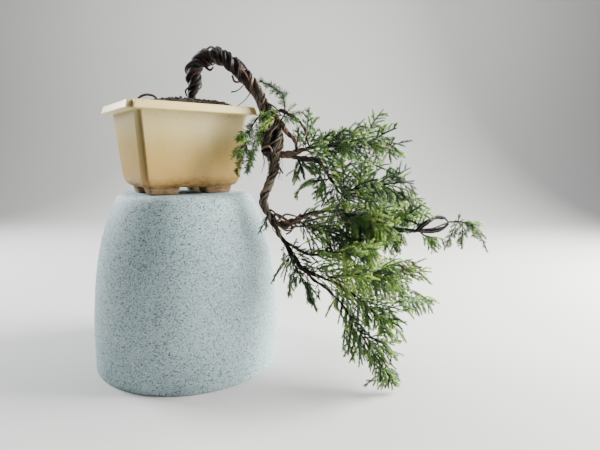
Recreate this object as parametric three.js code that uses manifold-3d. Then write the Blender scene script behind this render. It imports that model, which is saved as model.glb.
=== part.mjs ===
// Chinese juniper bonsai, cascade style, in a rectangular pot on an upturned planter.
// Units are millimetres and +Z is up. The trunk arches out of the pot and hangs down on the +X side.

import * as THREE from 'three';
import { mergeVertices } from 'three/addons/utils/BufferGeometryUtils.js';
import Module from 'manifold-3d';

const wasm = await Module();
wasm.setup();

// Driving dimensions

const GAP = 0.3;
const FINEST_EDGE = 0.03;

const STAND_HEIGHT = 212;
const STAND_WALL = 5;
const STAND_SIDES = 36;

// The stand's outside, from the rim it stands on up to its flat top: radius and height
const STAND_PROFILE = [
  [114.5, 0], [114.5, 42], [112.5, 78], [109, 112], [103.5, 144], [96, 172], [87, 195], [81, 206.5],
  [76, 211], [73, STAND_HEIGHT],
];
const STAND_INNER_ROWS = 7;

const POT_LENGTH = 150;
const POT_WIDTH = 115;
const POT_HEIGHT = 101;
const POT_TURN = THREE.MathUtils.degToRad(35.7);
const POT_CENTRE = new THREE.Vector2(-1, -11.5);
const RIM_HEIGHT = 9;
const RIM_FLARE = 2.5;
const RIM_OVERHANG = 8;
const POT_WALL = 5;
const RIM_WIDTH = 9;
const FOOT_HEIGHT = 8;
const FOOT_LENGTH = 36;
const FOOT_WIDTH = 24;
const FOOT_TAPER = 4;
const FOOT_INSET = 24;
const POT_INSET = { top: RIM_OVERHANG, waist: 14.7, chamfer: 18.5, floor: 23 };
const POT_WAIST_HEIGHT = 18;
const POT_CHAMFER_HEIGHT = 10.5;
const POT_NOTCH = 6;
const NOTCH_EASE = 1.2;

// The soil's heap: share of the pot's inside and share of the heap's rise at each level
const SOIL_HEAP = [[0.94, 0.4], [0.74, 0.72], [0.52, 0.93], [0.34, 1]];

const TRUNK_SIDES = 9;
const BOUGH_SIDES = 6;
const STRANDS = 3;
const STRAND_DEPTH = 0.11;
const STRAND_PITCH = 75;
const LIMB_STEPS = 2;

const SPRAY_STEP = 8.4;
const STEM_STEPS = 3;
const TWIG_RADII = [0.95, 0.5];
const SHOOT_LENGTH = 17.5;
const SHOOT_SPREAD = 0.64;
const SHOOT_FORWARD = 0.78;
const SHOOT_DROOP = 0.2;
const TWIG_BOW = 0.1;
const BARE_SHARE = 0.35;
const FILL_LENGTHS = [0.75, 1.15];
const FILL_DROOP = 0.12;
const FILL_FORWARD = 1;
const GOLDEN_ANGLE = THREE.MathUtils.degToRad(137.5);
const TIP_CLEARANCE = 0.3;
const SPACE_REACH = 1.02;
const SPACE_MARGIN = 0.05;
const FLOOR_CLEARANCE = 2.5;
const LIMB_CLEARANCE = 1.6;

// Limbs: each row is x, y, z and the limb's radius there

const LIMBS = {
  trunk: [
    [12, -8, 322.6, 9.8], [13, -8, 329, 8.3], [16, -8, 341, 8.6], [15, -8, 356, 9.0],
    [23, -8, 367, 9.0], [38, -8, 373, 9.8], [50, -9, 371, 9.2], [62, -10, 364, 8.8],
    [76, -12, 350, 8.2], [87, -14, 337, 7.4], [94, -15, 326, 7.0], [99, -17, 315, 7.2],
    [106, -19, 304, 8.2], [109, -22, 290, 11.0], [109, -24, 277, 14.0], [110, -25, 263, 11.0],
    [113, -27, 251, 6.4], [111, -30, 240, 5.4], [106, -33, 226, 5.0], [98, -36, 208, 5.2],
    [102, -39, 194, 4.6], [109, -41, 187, 5.2], [112, -43, 178, 4.2], [117, -45, 170, 3.6],
    [123, -48, 161, 3.3], [129, -50, 152, 3.3], [136, -53, 141, 3.3], [144, -56, 131, 3.2],
    [152, -59, 125, 2.9], [162, -61, 121.5, 2.7], [173, -64, 118.5, 2.5],
  ],
  bough_upper: [[114, -25, 257, 4.8], [132, -22, 259, 4.2], [146, -18, 264, 3.3], [160, -14, 268, 2.6]],
  bough_second: [
    [130, -22, 258, 3.0], [143, -25, 254, 3.4], [162, -30, 252, 3.1], [171, -34, 243, 2.8],
    [178, -38, 232, 2.6], [186, -41, 219, 2.4], [191, -42, 213, 2.2],
  ],
  bough_slim_front: [
    [108, -20, 303, 1.9], [119, -19, 309, 1.9], [131, -18, 304, 1.9], [141, -17, 297, 1.8],
    [148, -16, 289, 1.7], [147, -16, 281, 1.6], [152, -17, 268, 1.6],
  ],
  bough_slim_back: [
    [110, -23, 296, 2.8], [120, -27, 296, 2.8], [125, -28, 287, 2.9], [132, -28, 279, 2.9],
    [138, -26, 272, 2.6], [138, -21, 261, 2.3],
  ],
  bough_middle: [
    [112, -42, 181, 3.4], [122, -45, 179, 3.6], [133, -46, 180, 3.6], [143, -42, 185, 3.2],
    [159, -36, 190, 2.9], [178, -30, 192, 2.5],
  ],
  bough_wired: [
    [244, -26, 176, 2.2], [254, -26, 171, 2.8], [271, -26, 168, 3.0], [289, -26, 169, 2.4],
    [306, -24, 169, 2.1], [319, -20, 172, 1.9], [325, -18, 178, 1.7],
  ],
  bough_wired_loop: [
    [284, -27, 170, 1.9], [290, -31, 176, 2.2], [299, -30, 185, 2.1], [310, -26, 188, 2.0],
    [319, -20, 185, 1.8], [325, -18, 178, 1.6],
  ],
  bough_low_twig: [[123, -48, 160, 2.0], [139, -52, 151, 1.8], [155, -54, 144, 1.6], [177, -57, 146, 1.4]],
  bough_lowest: [[147, -57, 129, 2.0], [159, -63, 117, 1.9], [171, -68, 110, 1.8], [187, -75, 97, 1.6]],
};

// Limbs that a later limb or mass is cut clear of, in the order they are made

const CARRIERS = {
  bough_upper: ['trunk'],
  bough_second: ['trunk', 'bough_upper'],
  bough_slim_front: ['trunk', 'bough_upper'],
  bough_slim_back: ['trunk', 'bough_upper', 'bough_second'],
  bough_middle: ['trunk'],
  bough_wired: [],
  bough_wired_loop: ['bough_wired'],
  bough_low_twig: ['trunk'],
  bough_lowest: ['trunk'],
};

// Masses of foliage. The stem runs through the mass, the reach rows are t along the stem and a far tip,
// fill is the number of seeded twigs and their length, and the space is a centre and half sizes.

const MASSES = {
  foliage_upper: {
    seed: 11, colour: 0x3f6a35,
    stem: [[160, -14, 268], [179, -11, 269], [197, -8, 270], [231, -5, 275], [254, -5, 271], [271, -8, 256]],
    radii: [2.3, 0.9],
    reach: [
      [0.52, 245, 5, 314], [0.4, 218, -20, 300], [0.32, 212, 15, 299], [0.2, 195, -25, 289],
      [0.1, 181, 10, 290], [0.02, 153, -8, 312], [0.66, 255, 20, 294], [0.8, 253, -27, 279],
      [0.75, 253, -15, 250], [0.3, 206, 22, 262],
    ],
    fill: { count: 20, length: 46 },
    space: { centre: [212, 4, 278], half: [66, 56, 37] },
  },
  foliage_second: {
    seed: 23, colour: 0x426e36,
    stem: [[191, -42, 213], [203, -46, 219], [225, -50, 225], [247, -52, 227], [273, -50, 230]],
    radii: [2.0, 0.8],
    reach: [
      [0.12, 196, -26, 203], [0.3, 222, -22, 214], [0.15, 188, -70, 222], [0.7, 270, -40, 244],
      [0.6, 267, -64, 218], [0.1, 190, -50, 256], [0.35, 211, -66, 250], [0.08, 177, -85, 184],
      [0.45, 276, -38, 208], [0.55, 290, -56, 199], [0.5, 256, -30, 238],
    ],
    fill: { count: 13, length: 42 },
    space: { centre: [214, -52, 224], half: [74, 46, 34] },
  },
  foliage_middle: {
    seed: 37, colour: 0x44722f,
    stem: [[178, -30, 192], [197, -28, 193], [228, -26, 185], [243, -26, 177]],
    radii: [2.1, 1.6],
    reach: [
      [0.05, 171, -8, 158], [0.25, 190, 14, 160], [0.35, 206, -6, 146], [0.8, 244, -8, 145],
      [0.75, 244, -48, 158], [0.88, 259, -32, 145], [0.8, 262, -16, 205], [0.7, 270, 10, 186],
      [0.5, 222, 26, 178], [0.45, 228, -44, 200],
    ],
    fill: { count: 15, length: 48 },
    space: { centre: [222, -10, 176], half: [58, 52, 34] },
  },
  foliage_middle_under: {
    seed: 29, colour: 0x365c2b,
    stem: [
      [141, -44, 183], [150, -47, 177], [166, -48, 173], [188, -49, 167], [208, -48, 159], [222, -46, 151],
    ],
    radii: [1.7, 0.8],
    reach: [
      [0.3, 160, -50, 144], [0.42, 171, -40, 139], [0.5, 181, -56, 142], [0.7, 196, -40, 143],
      [0.15, 148, -38, 160], [0.75, 206, -60, 146],
    ],
    fill: { count: 7, length: 30 },
    space: { centre: [184, -50, 158], half: [44, 26, 22] },
  },
  foliage_second_left: {
    seed: 31, colour: 0x4a7a38,
    stem: [[177, -39, 231], [168, -43, 229], [157, -46, 229], [146, -47, 224], [138, -49, 211]],
    radii: [1.3, 0.7],
    reach: [[0.1, 163, -32, 206], [0.35, 146, -60, 222], [0.2, 172, -56, 214]],
    fill: { count: 1, length: 20 },
    space: { centre: [158, -46, 218], half: [24, 22, 18] },
  },
  foliage_tip: {
    seed: 41, colour: 0x55803a,
    stem: [[325, -18, 178], [341, -16, 178], [353, -16, 174], [365, -18, 162], [375, -20, 141]],
    radii: [1.4, 0.8],
    reach: [[0.2, 337, -22, 187], [0.45, 367, -8, 177], [0.7, 373, -10, 160], [0.2, 320, -26, 146],
      [0.3, 338, -34, 150]],
    fill: { count: 3, length: 26 },
    space: { centre: [345, -20, 163], half: [34, 24, 26] },
  },
  foliage_wired_under: {
    seed: 43, colour: 0x4a7a34,
    stem: [[289, -28, 166], [296, -31, 162], [303, -34, 156]],
    radii: [1.1, 0.8],
    reach: [[0.3, 305, -40, 145], [0.5, 318, -30, 158], [0.6, 316, -24, 148]],
    fill: { count: 0, length: 20 },
    space: { centre: [304, -33, 154], half: [20, 16, 14] },
  },
  foliage_low_upper: {
    seed: 47, colour: 0x4f7f33,
    stem: [[177, -57, 146], [198, -60, 150], [214, -64, 151], [229, -74, 153]],
    radii: [1.3, 0.8],
    reach: [[0.1, 160, -44, 146], [0.4, 211, -84, 150], [0.35, 206, -70, 162], [0.5, 222, -44, 148]],
    fill: { count: 8, length: 30 },
    space: { centre: [206, -64, 149], half: [40, 32, 15] },
  },
  foliage_low_left: {
    seed: 53, colour: 0x3c6430,
    stem: [[127, -50, 153], [134, -54, 138], [143, -57, 122], [152, -63, 104], [156, -66, 90]],
    radii: [1.6, 0.9],
    reach: [
      [0.15, 111, -55, 111], [0.4, 131, -60, 96], [0.3, 137, -42, 104], [0.75, 163, -68, 81],
      [0.55, 167, -66, 94], [0.2, 122, -72, 122],
    ],
    fill: { count: 7, length: 30 },
    space: { centre: [141, -58, 112], half: [34, 28, 36] },
  },
  foliage_low_right: {
    seed: 61, colour: 0x4c8033,
    stem: [[175, -64, 119], [191, -64, 122], [216, -62, 123], [244, -60, 127], [272, -58, 127],
      [296, -56, 125]],
    radii: [2.2, 0.8],
    reach: [
      [0.75, 290, -50, 139], [0.5, 267, -72, 143], [0.4, 247, -38, 137], [0.3, 228, -30, 122],
      [0.3, 270, -60, 95], [0.42, 298, -64, 88], [0.35, 261, -92, 121], [0.15, 206, -30, 112],
    ],
    fill: { count: 15, length: 40 },
    space: { centre: [240, -60, 116], half: [60, 40, 27] },
  },
  foliage_low_centre: {
    seed: 71, colour: 0x568a35,
    stem: [[171, -63, 118], [190, -71, 112], [212, -78, 98], [233, -84, 80], [254, -88, 66], [262, -90, 54]],
    radii: [1.8, 0.8],
    reach: [[0.7, 265, -74, 71], [0.45, 263, -86, 87], [0.4, 216, -58, 84], [0.6, 232, -104, 70]],
    fill: { count: 13, length: 36 },
    space: { centre: [234, -84, 80], half: [38, 32, 27] },
  },
  foliage_lowest: {
    seed: 83, colour: 0x5d9036,
    stem: [[187, -75, 97], [196, -80, 87], [210, -88, 65], [225, -95, 42], [240, -101, 22], [249, -104, 9]],
    radii: [1.5, 0.7],
    reach: [
      [0.22, 192, -90, 46], [0.3, 197, -98, 43], [0.42, 209, -101, 30], [0.8, 231, -105, 14],
      [0.85, 238, -107, 10], [0.8, 254, -98, 14], [0.55, 259, -92, 39], [0.45, 246, -96, 53],
      [0.12, 187, -80, 71], [0.3, 206, -70, 50],
    ],
    fill: { count: 9, length: 30 },
    space: { centre: [217, -95, 44], half: [46, 26, 44] },
  },
  foliage_knot: {
    seed: 97, colour: 0x3f6a38,
    stem: [[112, -23, 292], [124, -24, 304], [123, -23, 324], [118, -22, 331], [102, -20, 340],
      [95, -18, 343]],
    radii: [1.4, 0.7],
    reach: [[0.18, 138, -26, 317], [0.16, 145, -30, 307]],
    fill: { count: 0, length: 20 },
    space: { centre: [118, -22, 318], half: [36, 18, 30] },
  },
  foliage_pot_side: {
    seed: 101, colour: 0x40703a,
    stem: [[109, -24, 300], [98, -31, 303], [90, -37, 294], [83, -40, 280], [79, -42, 263], [74, -43, 250],
      [70, -43, 236]],
    radii: [1.3, 0.7],
    reach: [[0.45, 74, -50, 275], [0.6, 67, -52, 254], [0.6, 88, -48, 250]],
    fill: { count: 1, length: 24 },
    space: { centre: [82, -44, 266], half: [26, 18, 42] },
  },
  foliage_under_knot: {
    seed: 107, colour: 0x3b6232,
    stem: [[140, -25, 254], [144, -27, 246], [148, -28, 231]],
    radii: [1.3, 0.8],
    reach: [[0.3, 136, -26, 236], [0.4, 158, -24, 236]],
    fill: { count: 1, length: 20 },
    space: { centre: [148, -26, 240], half: [18, 16, 18] },
  },
  foliage_stand_side: {
    seed: 109, colour: 0x3c6431,
    stem: [[102, -38, 198], [106, -46, 190], [101, -48, 178], [95, -47, 168]],
    radii: [1.1, 0.7],
    reach: [[0.4, 104, -50, 172]],
    fill: { count: 0, length: 16 },
    space: { centre: [100, -46, 180], half: [14, 12, 20] },
  },
};

// Curves and frames

function seeded(seed) {
  let state = seed;
  return () => {
    state = (state * 16807) % 2147483647;
    return state / 2147483647;
  };
}

// A smooth curve through rows of numbers, with the same number of steps in each span.
function through(rows, steps) {
  const out = [];
  for (let i = 0; i < rows.length - 1; i++) {
    const a = rows[Math.max(i - 1, 0)];
    const b = rows[i];
    const c = rows[i + 1];
    const d = rows[Math.min(i + 2, rows.length - 1)];
    for (let k = 0; k < steps; k++) {
      const t = k / steps;
      out.push(b.map((_, n) => 0.5 * (2 * b[n] + (c[n] - a[n]) * t
        + (2 * a[n] - 5 * b[n] + 4 * c[n] - d[n]) * t * t
        + (3 * b[n] - a[n] - 3 * c[n] + d[n]) * t * t * t)));
    }
  }
  out.push(rows[rows.length - 1]);
  return out;
}

const vector = (row) => new THREE.Vector3(row[0], row[1], row[2]);

function tangentAt(points, i) {
  const from = points[Math.max(i - 1, 0)];
  const to = points[Math.min(i + 1, points.length - 1)];
  return to.clone().sub(from).normalize();
}

// One normal for each point, carried along the path without spinning round it.
function carriedNormals(points, first) {
  const normals = [];
  let normal = first.clone();
  for (let i = 0; i < points.length; i++) {
    const tangent = tangentAt(points, i);
    normal = normal.clone().addScaledVector(tangent, -normal.dot(tangent)).normalize();
    normals.push(normal);
  }
  return normals;
}

// Closed meshes

class MeshBuilder {
  constructor() {
    this.vertices = [];
    this.faces = [];
  }

  point(v) {
    this.vertices.push(v.x, v.y, v.z);
    return this.vertices.length / 3 - 1;
  }

  face(...corners) {
    for (let i = 1; i < corners.length - 1; i++) {
      this.faces.push(corners[0], corners[i], corners[i + 1]);
    }
  }

  solid() {
    return new wasm.Manifold(new wasm.Mesh({
      numProp: 3,
      vertProperties: new Float32Array(this.vertices),
      triVerts: new Uint32Array(this.faces),
    }));
  }
}

// A closed tube round a path; ring(i, j) gives how far side j of ring i stands from the path.
function tube(points, sides, ring, spin = () => 0) {
  const mesh = new MeshBuilder();
  const normals = carriedNormals(points, new THREE.Vector3(0.3, -0.9, 0.2));
  const rings = points.map((point, i) => {
    const tangent = tangentAt(points, i);
    const side = tangent.clone().cross(normals[i]);
    const row = [];
    for (let j = 0; j < sides; j++) {
      const angle = (2 * Math.PI * j) / sides + spin(i);
      const reach = ring(i, j);
      row.push(mesh.point(point.clone()
        .addScaledVector(normals[i], reach * Math.cos(angle))
        .addScaledVector(side, reach * Math.sin(angle))));
    }
    return row;
  });
  for (let i = 0; i < rings.length - 1; i++) {
    for (let j = 0; j < sides; j++) {
      const k = (j + 1) % sides;
      mesh.face(rings[i][j], rings[i][k], rings[i + 1][k], rings[i + 1][j]);
    }
  }
  mesh.face(...[...rings[0]].reverse());
  mesh.face(...rings[rings.length - 1]);
  return mesh.solid();
}

// A rectangle with rounded corners, as a ring of points at height z.
function roundedRectangle(length, width, corner, z, centre = [0, 0]) {
  const row = [];
  const steps = 3;
  for (let quarter = 0; quarter < 4; quarter++) {
    const x = (quarter === 0 || quarter === 3 ? 1 : -1) * (length / 2 - corner);
    const y = (quarter < 2 ? 1 : -1) * (width / 2 - corner);
    for (let k = 0; k <= steps; k++) {
      const angle = (quarter + k / steps) * Math.PI / 2;
      row.push(new THREE.Vector3(
        centre[0] + x + corner * Math.cos(angle), centre[1] + y + corner * Math.sin(angle), z));
    }
  }
  return row;
}

// A rectangle with a square notch cut into each corner, its outer edges eased, as a ring of points.
function notchedRectangle(length, width, notch, z, centre = [0, 0]) {
  const row = [];
  const x = length / 2;
  const y = width / 2;
  const ease = NOTCH_EASE * notch / POT_NOTCH;
  const corner = [
    [x, y - notch - ease], [x - ease, y - notch], [x - notch, y - notch],
    [x - notch, y - ease], [x - notch - ease, y],
  ];
  for (const [signX, signY] of [[1, 1], [-1, 1], [-1, -1], [1, -1]]) {
    const points = signX * signY > 0 ? corner : [...corner].reverse();
    for (const [px, py] of points) {
      row.push(new THREE.Vector3(centre[0] + signX * px, centre[1] + signY * py, z));
    }
  }
  return row;
}

// A flat end over a ring, fanned from the ring's middle and facing up or down.
function cap(mesh, ring, row, up) {
  const middle = ring.reduce((sum, v) => sum.add(v), new THREE.Vector3()).divideScalar(ring.length);
  const centre = mesh.point(middle);
  row.forEach((corner, j) => {
    const next = row[(j + 1) % row.length];
    mesh.face(centre, up ? corner : next, up ? next : corner);
  });
}

// A closed solid skinned over rings of equal length, with a flat face at each end.
function loft(rings) {
  const mesh = new MeshBuilder();
  const rows = rings.map((ring) => ring.map((v) => mesh.point(v)));
  const count = rows[0].length;
  for (let i = 0; i < rows.length - 1; i++) {
    for (let j = 0; j < count; j++) {
      const k = (j + 1) % count;
      mesh.face(rows[i][j], rows[i][k], rows[i + 1][k], rows[i + 1][j]);
    }
  }
  cap(mesh, rings[0], rows[0], false);
  cap(mesh, rings[rings.length - 1], rows[rows.length - 1], true);
  return mesh.solid();
}

// Trunk and boughs

const limbPaths = {};
for (const [name, rows] of Object.entries(LIMBS)) {
  limbPaths[name] = through(rows, LIMB_STEPS);
}

// A limb with twisted strands along it; extra thickens it for a clearance cut.
function limb(name, extra = 0) {
  const rows = limbPaths[name];
  const points = rows.map(vector);
  const sides = name === 'trunk' ? TRUNK_SIDES : BOUGH_SIDES;
  const depth = name === 'trunk' ? STRAND_DEPTH : 0;
  let length = 0;
  const along = points.map((point, i) => {
    length += i > 0 ? point.distanceTo(points[i - 1]) : 0;
    return length;
  });
  if (extra > 0) {
    points[0].addScaledVector(tangentAt(points, 0), -extra);
    points[points.length - 1].addScaledVector(tangentAt(points, points.length - 1), extra);
  }
  const reach = (i, j) => rows[i][3] * (1 + depth * Math.cos((STRANDS * 2 * Math.PI * j) / sides)) + extra;
  return tube(points, sides, reach, (i) => (2 * Math.PI * along[i]) / STRAND_PITCH);
}

// The trunk's foot is cut flat at ground level by a block that lies below it.
function groundBlock() {
  const top = LIMBS.trunk[0][2];
  const box = new THREE.BoxGeometry(60, 60, 20);
  box.translate(LIMBS.trunk[0][0], LIMBS.trunk[0][1], top - 10);
  box.deleteAttribute('normal');
  box.deleteAttribute('uv');
  const merged = mergeVertices(box);
  return new wasm.Manifold(new wasm.Mesh({
    numProp: 3,
    vertProperties: new Float32Array(merged.attributes.position.array),
    triVerts: new Uint32Array(merged.index.array),
  }));
}

// The largest closed body of a solid: sealed hollows are filled and loose scraps dropped.
function largest(solid) {
  const bodies = solid.simplify(FINEST_EDGE).decompose();
  bodies.sort((a, b) => b.volume() - a.volume());
  return bodies[0];
}

const limbSolids = { trunk: limb('trunk').subtract(groundBlock()) };
const limbClearance = { trunk: limb('trunk', GAP) };
for (const [name, carriers] of Object.entries(CARRIERS)) {
  let solid = limb(name);
  for (const carrier of carriers) {
    solid = solid.subtract(limbClearance[carrier]);
  }
  limbSolids[name] = largest(solid);
  limbClearance[name] = limb(name, GAP);
}

// Distance from a point to the nearest limb's bark.
const limbRuns = Object.values(limbPaths).map((rows) =>
  rows.map((row) => ({ at: vector(row), radius: row[3] })));

function barkDistance(point) {
  let nearest = Infinity;
  for (const run of limbRuns) {
    for (let i = 0; i < run.length - 1; i++) {
      const line = new THREE.Line3(run[i].at, run[i + 1].at);
      const foot = line.closestPointToPoint(point, true, new THREE.Vector3());
      nearest = Math.min(nearest, foot.distanceTo(point) - Math.max(run[i].radius, run[i + 1].radius));
    }
  }
  return nearest;
}

// Foliage

// 0 at the middle of a mass's space and 1 at its edge.
function spaceValue(space, point) {
  return Math.hypot(
    (point.x - space.centre[0]) / space.half[0],
    (point.y - space.centre[1]) / space.half[1],
    (point.z - space.centre[2]) / space.half[2]);
}

// A point may be used by a mass when it is in that mass's space, nearer to it than to any other,
// and clear of every limb.
function allowed(name, point) {
  const own = spaceValue(MASSES[name].space, point);
  if (own > SPACE_REACH || barkDistance(point) < LIMB_CLEARANCE || point.z < FLOOR_CLEARANCE) {
    return false;
  }
  return Object.entries(MASSES).every(([other, mass]) =>
    other === name || spaceValue(mass.space, point) > own + SPACE_MARGIN);
}

// A twig bows up between its root and its tip.
function twigPath(root, tip) {
  const reach = root.distanceTo(tip);
  const middle = root.clone().lerp(tip, 0.5);
  middle.z += TWIG_BOW * reach;
  const curve = new THREE.QuadraticBezierCurve3(root, middle, tip);
  const steps = Math.max(3, Math.round(reach / SPRAY_STEP));
  return curve.getPoints(steps);
}

// The side shoots of a twig, left and right by turns: each is a root station and a tip.
function sideShoots(name, path, normal, random) {
  const shoots = [];
  const normals = carriedNormals(path, normal);
  const steps = path.length - 1;
  for (let i = 1; i < steps; i++) {
    const side = i % 2 === 0 ? 1 : -1;
    const fade = 1 - 0.55 * (i / steps) ** 2;
    const length = SHOOT_LENGTH * (0.62 + 0.38 * random()) * fade;
    const tangent = tangentAt(path, i);
    const across = tangent.clone().cross(normals[i]).multiplyScalar(side);
    const root = path[i].clone().lerp(path[i + 1], 0.5);
    const tip = root.clone()
      .addScaledVector(across, SHOOT_SPREAD * length)
      .addScaledVector(tangent, SHOOT_FORWARD * length);
    tip.z -= SHOOT_DROOP * length;
    const middle = root.clone().lerp(tip, 0.55);
    if (allowed(name, tip) && allowed(name, middle)) {
      shoots.push({ station: i, side, tip });
    }
  }
  return shoots;
}

// The twigs of a mass: reach twigs run to their tips, and seeded twigs fill the space round the stem.
function growMass(name) {
  const mass = MASSES[name];
  const random = seeded(mass.seed);
  const stem = through(mass.stem, STEM_STEPS).map(vector);
  const along = (t) => {
    const place = t * (stem.length - 1);
    const i = Math.min(Math.floor(place), stem.length - 2);
    return stem[i].clone().lerp(stem[i + 1], place - i);
  };
  const twigs = [];
  const addTwig = (root, tip, held) => {
    let path = twigPath(root, tip);
    if (held) {
      const end = path.findIndex((point, i) => i > 1 && !allowed(name, point));
      path = end < 0 ? path : path.slice(0, end);
    }
    const roll = (random() - 0.5) * 1.7;
    const normal = new THREE.Vector3(0.2 * (random() - 0.5), -Math.cos(roll + 0.5), Math.sin(roll + 0.5));
    if (path.length < 4) {
      return;
    }
    twigs.push({ path, normal, shoots: sideShoots(name, path, normal, random) });
  };
  const stemNormal = new THREE.Vector3(0, -0.7, 0.7);
  const bare = Math.floor(stem.length * BARE_SHARE);
  const stemShoots = sideShoots(name, stem, stemNormal, random).filter((shoot) => shoot.station >= bare);
  for (const [t, x, y, z] of mass.reach) {
    addTwig(along(t), new THREE.Vector3(x, y, z), false);
  }
  for (let i = 0; i < mass.fill.count; i++) {
    const t = 0.06 + (0.86 * (i + 0.5)) / mass.fill.count;
    const angle = i * GOLDEN_ANGLE + mass.seed;
    const root = along(t);
    const forward = along(Math.min(t + 0.1, 1)).sub(along(Math.max(t - 0.1, 0))).normalize();
    const length = mass.fill.length * THREE.MathUtils.lerp(...FILL_LENGTHS, random()) * (1 - 0.35 * t);
    const direction = forward.multiplyScalar(FILL_FORWARD)
      .add(new THREE.Vector3(0, 1.15 * Math.cos(angle), 0.75 * Math.sin(angle) + 0.05)).normalize();
    const tip = root.clone().addScaledVector(direction, length);
    tip.z -= FILL_DROOP * length;
    addTwig(root, tip, true);
  }
  return { stem, stemNormal, stemShoots, twigs };
}

// A pointed tooth over one face of a spray's core.
function tooth(mesh, tip, corners) {
  corners.forEach((corner, i) => mesh.face(corner, corners[(i + 1) % corners.length], tip));
}

// A spray: a slim three-sided core along the path that side shoots stand out of as pointed teeth.
function spray(path, firstNormal, shoots, radii, extra = 0) {
  const mesh = new MeshBuilder();
  const normals = carriedNormals(path, firstNormal);
  const last = path.length - 1;
  const byStation = new Map(shoots.map((shoot) => [shoot.station, shoot]));
  const rings = path.slice(0, last).map((point, i) => {
    const across = tangentAt(path, i).cross(normals[i]);
    const radius = radii[0] + (radii[1] - radii[0]) * (i / last) + extra;
    const low = point.clone().addScaledVector(normals[i], -0.6 * radius);
    return [
      mesh.point(point.clone().addScaledVector(normals[i], radius)),
      mesh.point(low.clone().addScaledVector(across, radius)),
      mesh.point(low.clone().addScaledVector(across, -radius)),
    ];
  });
  for (let i = 0; i < rings.length - 1; i++) {
    const [top, left, right] = rings[i];
    const [topNext, leftNext, rightNext] = rings[i + 1];
    const shoot = byStation.get(i);
    const tip = shoot ? mesh.point(shoot.tip.clone().lerp(path[i], -TIP_CLEARANCE * extra)) : -1;
    mesh.face(left, right, rightNext, leftNext);
    if (shoot && shoot.side > 0) {
      tooth(mesh, tip, [top, left, leftNext, topNext]);
    } else {
      mesh.face(top, left, leftNext, topNext);
    }
    if (shoot && shoot.side < 0) {
      tooth(mesh, tip, [right, top, topNext, rightNext]);
    } else {
      mesh.face(right, top, topNext, rightNext);
    }
  }
  const end = mesh.point(path[last]);
  const lastRing = rings[rings.length - 1];
  mesh.face(...[...rings[0]].reverse());
  for (let j = 0; j < 3; j++) {
    mesh.face(lastRing[j], lastRing[(j + 1) % 3], end);
  }
  return mesh.solid();
}

// The twigs are fused to the stem, their roots at its middle.
function massSolid(grown, radii, extra = 0) {
  let solid = spray(grown.stem, grown.stemNormal, grown.stemShoots, radii, extra);
  for (const twig of grown.twigs) {
    solid = solid.add(spray(twig.path, twig.normal, twig.shoots, TWIG_RADII, extra));
  }
  return solid;
}

const massSolids = {};
const massClearance = {};
for (const [name, mass] of Object.entries(MASSES)) {
  const grown = growMass(name);
  let solid = massSolid(grown, mass.radii);
  for (const clearance of Object.values(limbClearance)) {
    solid = solid.subtract(clearance);
  }
  for (const other of Object.keys(massSolids)) {
    if (solid.intersect(massClearance[other]).volume() > 0) {
      solid = solid.subtract(massClearance[other]);
    }
  }
  massSolids[name] = largest(solid);
  massClearance[name] = massSolid(grown, mass.radii, GAP);
}

// Pot, soil and stand

// Ring of the pot's shape, inset from the rim on every side, at a height above the pot's feet.
const potRing = (inset, z, notch = POT_NOTCH) =>
  notchedRectangle(POT_LENGTH - 2 * inset, POT_WIDTH - 2 * inset, notch, z);

const potInside = {
  topInset: POT_INSET.top + POT_WALL,
  waistInset: POT_INSET.waist + POT_WALL,
  waistHeight: POT_WAIST_HEIGHT + 2,
  floorInset: POT_INSET.floor + 1,
  floorHeight: FOOT_HEIGHT + POT_WALL,
};

// The pot: flared sides, a rim that overhangs them, a chamfered foot edge and four corner feet.
function potSolid() {
  const rimFoot = POT_HEIGHT - RIM_HEIGHT;
  let solid = loft([
    potRing(POT_INSET.floor, FOOT_HEIGHT),
    potRing(POT_INSET.chamfer, POT_CHAMFER_HEIGHT),
    potRing(POT_INSET.waist, POT_WAIST_HEIGHT),
    potRing(POT_INSET.top, rimFoot),
    potRing(-RIM_FLARE, rimFoot),
    potRing(0, POT_HEIGHT),
    potRing(RIM_WIDTH, POT_HEIGHT),
    potRing(potInside.topInset, rimFoot),
    potRing(potInside.waistInset, potInside.waistHeight),
    potRing(potInside.floorInset, potInside.floorHeight),
  ]);
  const footX = (POT_LENGTH - FOOT_LENGTH) / 2 - FOOT_INSET;
  const footY = (POT_WIDTH - FOOT_WIDTH) / 2 - FOOT_INSET;
  for (const [signX, signY] of [[1, 1], [-1, 1], [-1, -1], [1, -1]]) {
    const centre = [signX * footX, signY * footY];
    solid = solid.add(loft([
      roundedRectangle(FOOT_LENGTH - FOOT_TAPER, FOOT_WIDTH - FOOT_TAPER, 4, 0, centre),
      roundedRectangle(FOOT_LENGTH, FOOT_WIDTH, 4, FOOT_HEIGHT + 1, centre),
    ]));
  }
  return solid;
}

// The soil fills the pot and is heaped round the trunk's foot, flat where the trunk stands.
function soilSolid() {
  const foot = new THREE.Vector2(LIMBS.trunk[0][0], LIMBS.trunk[0][1]).sub(POT_CENTRE)
    .rotateAround(new THREE.Vector2(), -POT_TURN);
  const top = LIMBS.trunk[0][2] - STAND_HEIGHT - 2 * GAP;
  const edge = POT_HEIGHT - RIM_HEIGHT;
  const heap = ([share, rise]) => notchedRectangle(
    (POT_LENGTH - 2 * potInside.topInset) * share, (POT_WIDTH - 2 * potInside.topInset) * share,
    POT_NOTCH * share, edge + (top - edge) * rise, [foot.x * rise * rise, foot.y * rise * rise]);
  return loft([
    potRing(potInside.floorInset + GAP, potInside.floorHeight + GAP),
    potRing(potInside.waistInset + GAP, potInside.waistHeight),
    potRing(potInside.topInset + GAP, edge),
    ...SOIL_HEAP.map(heap),
  ]);
}

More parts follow.
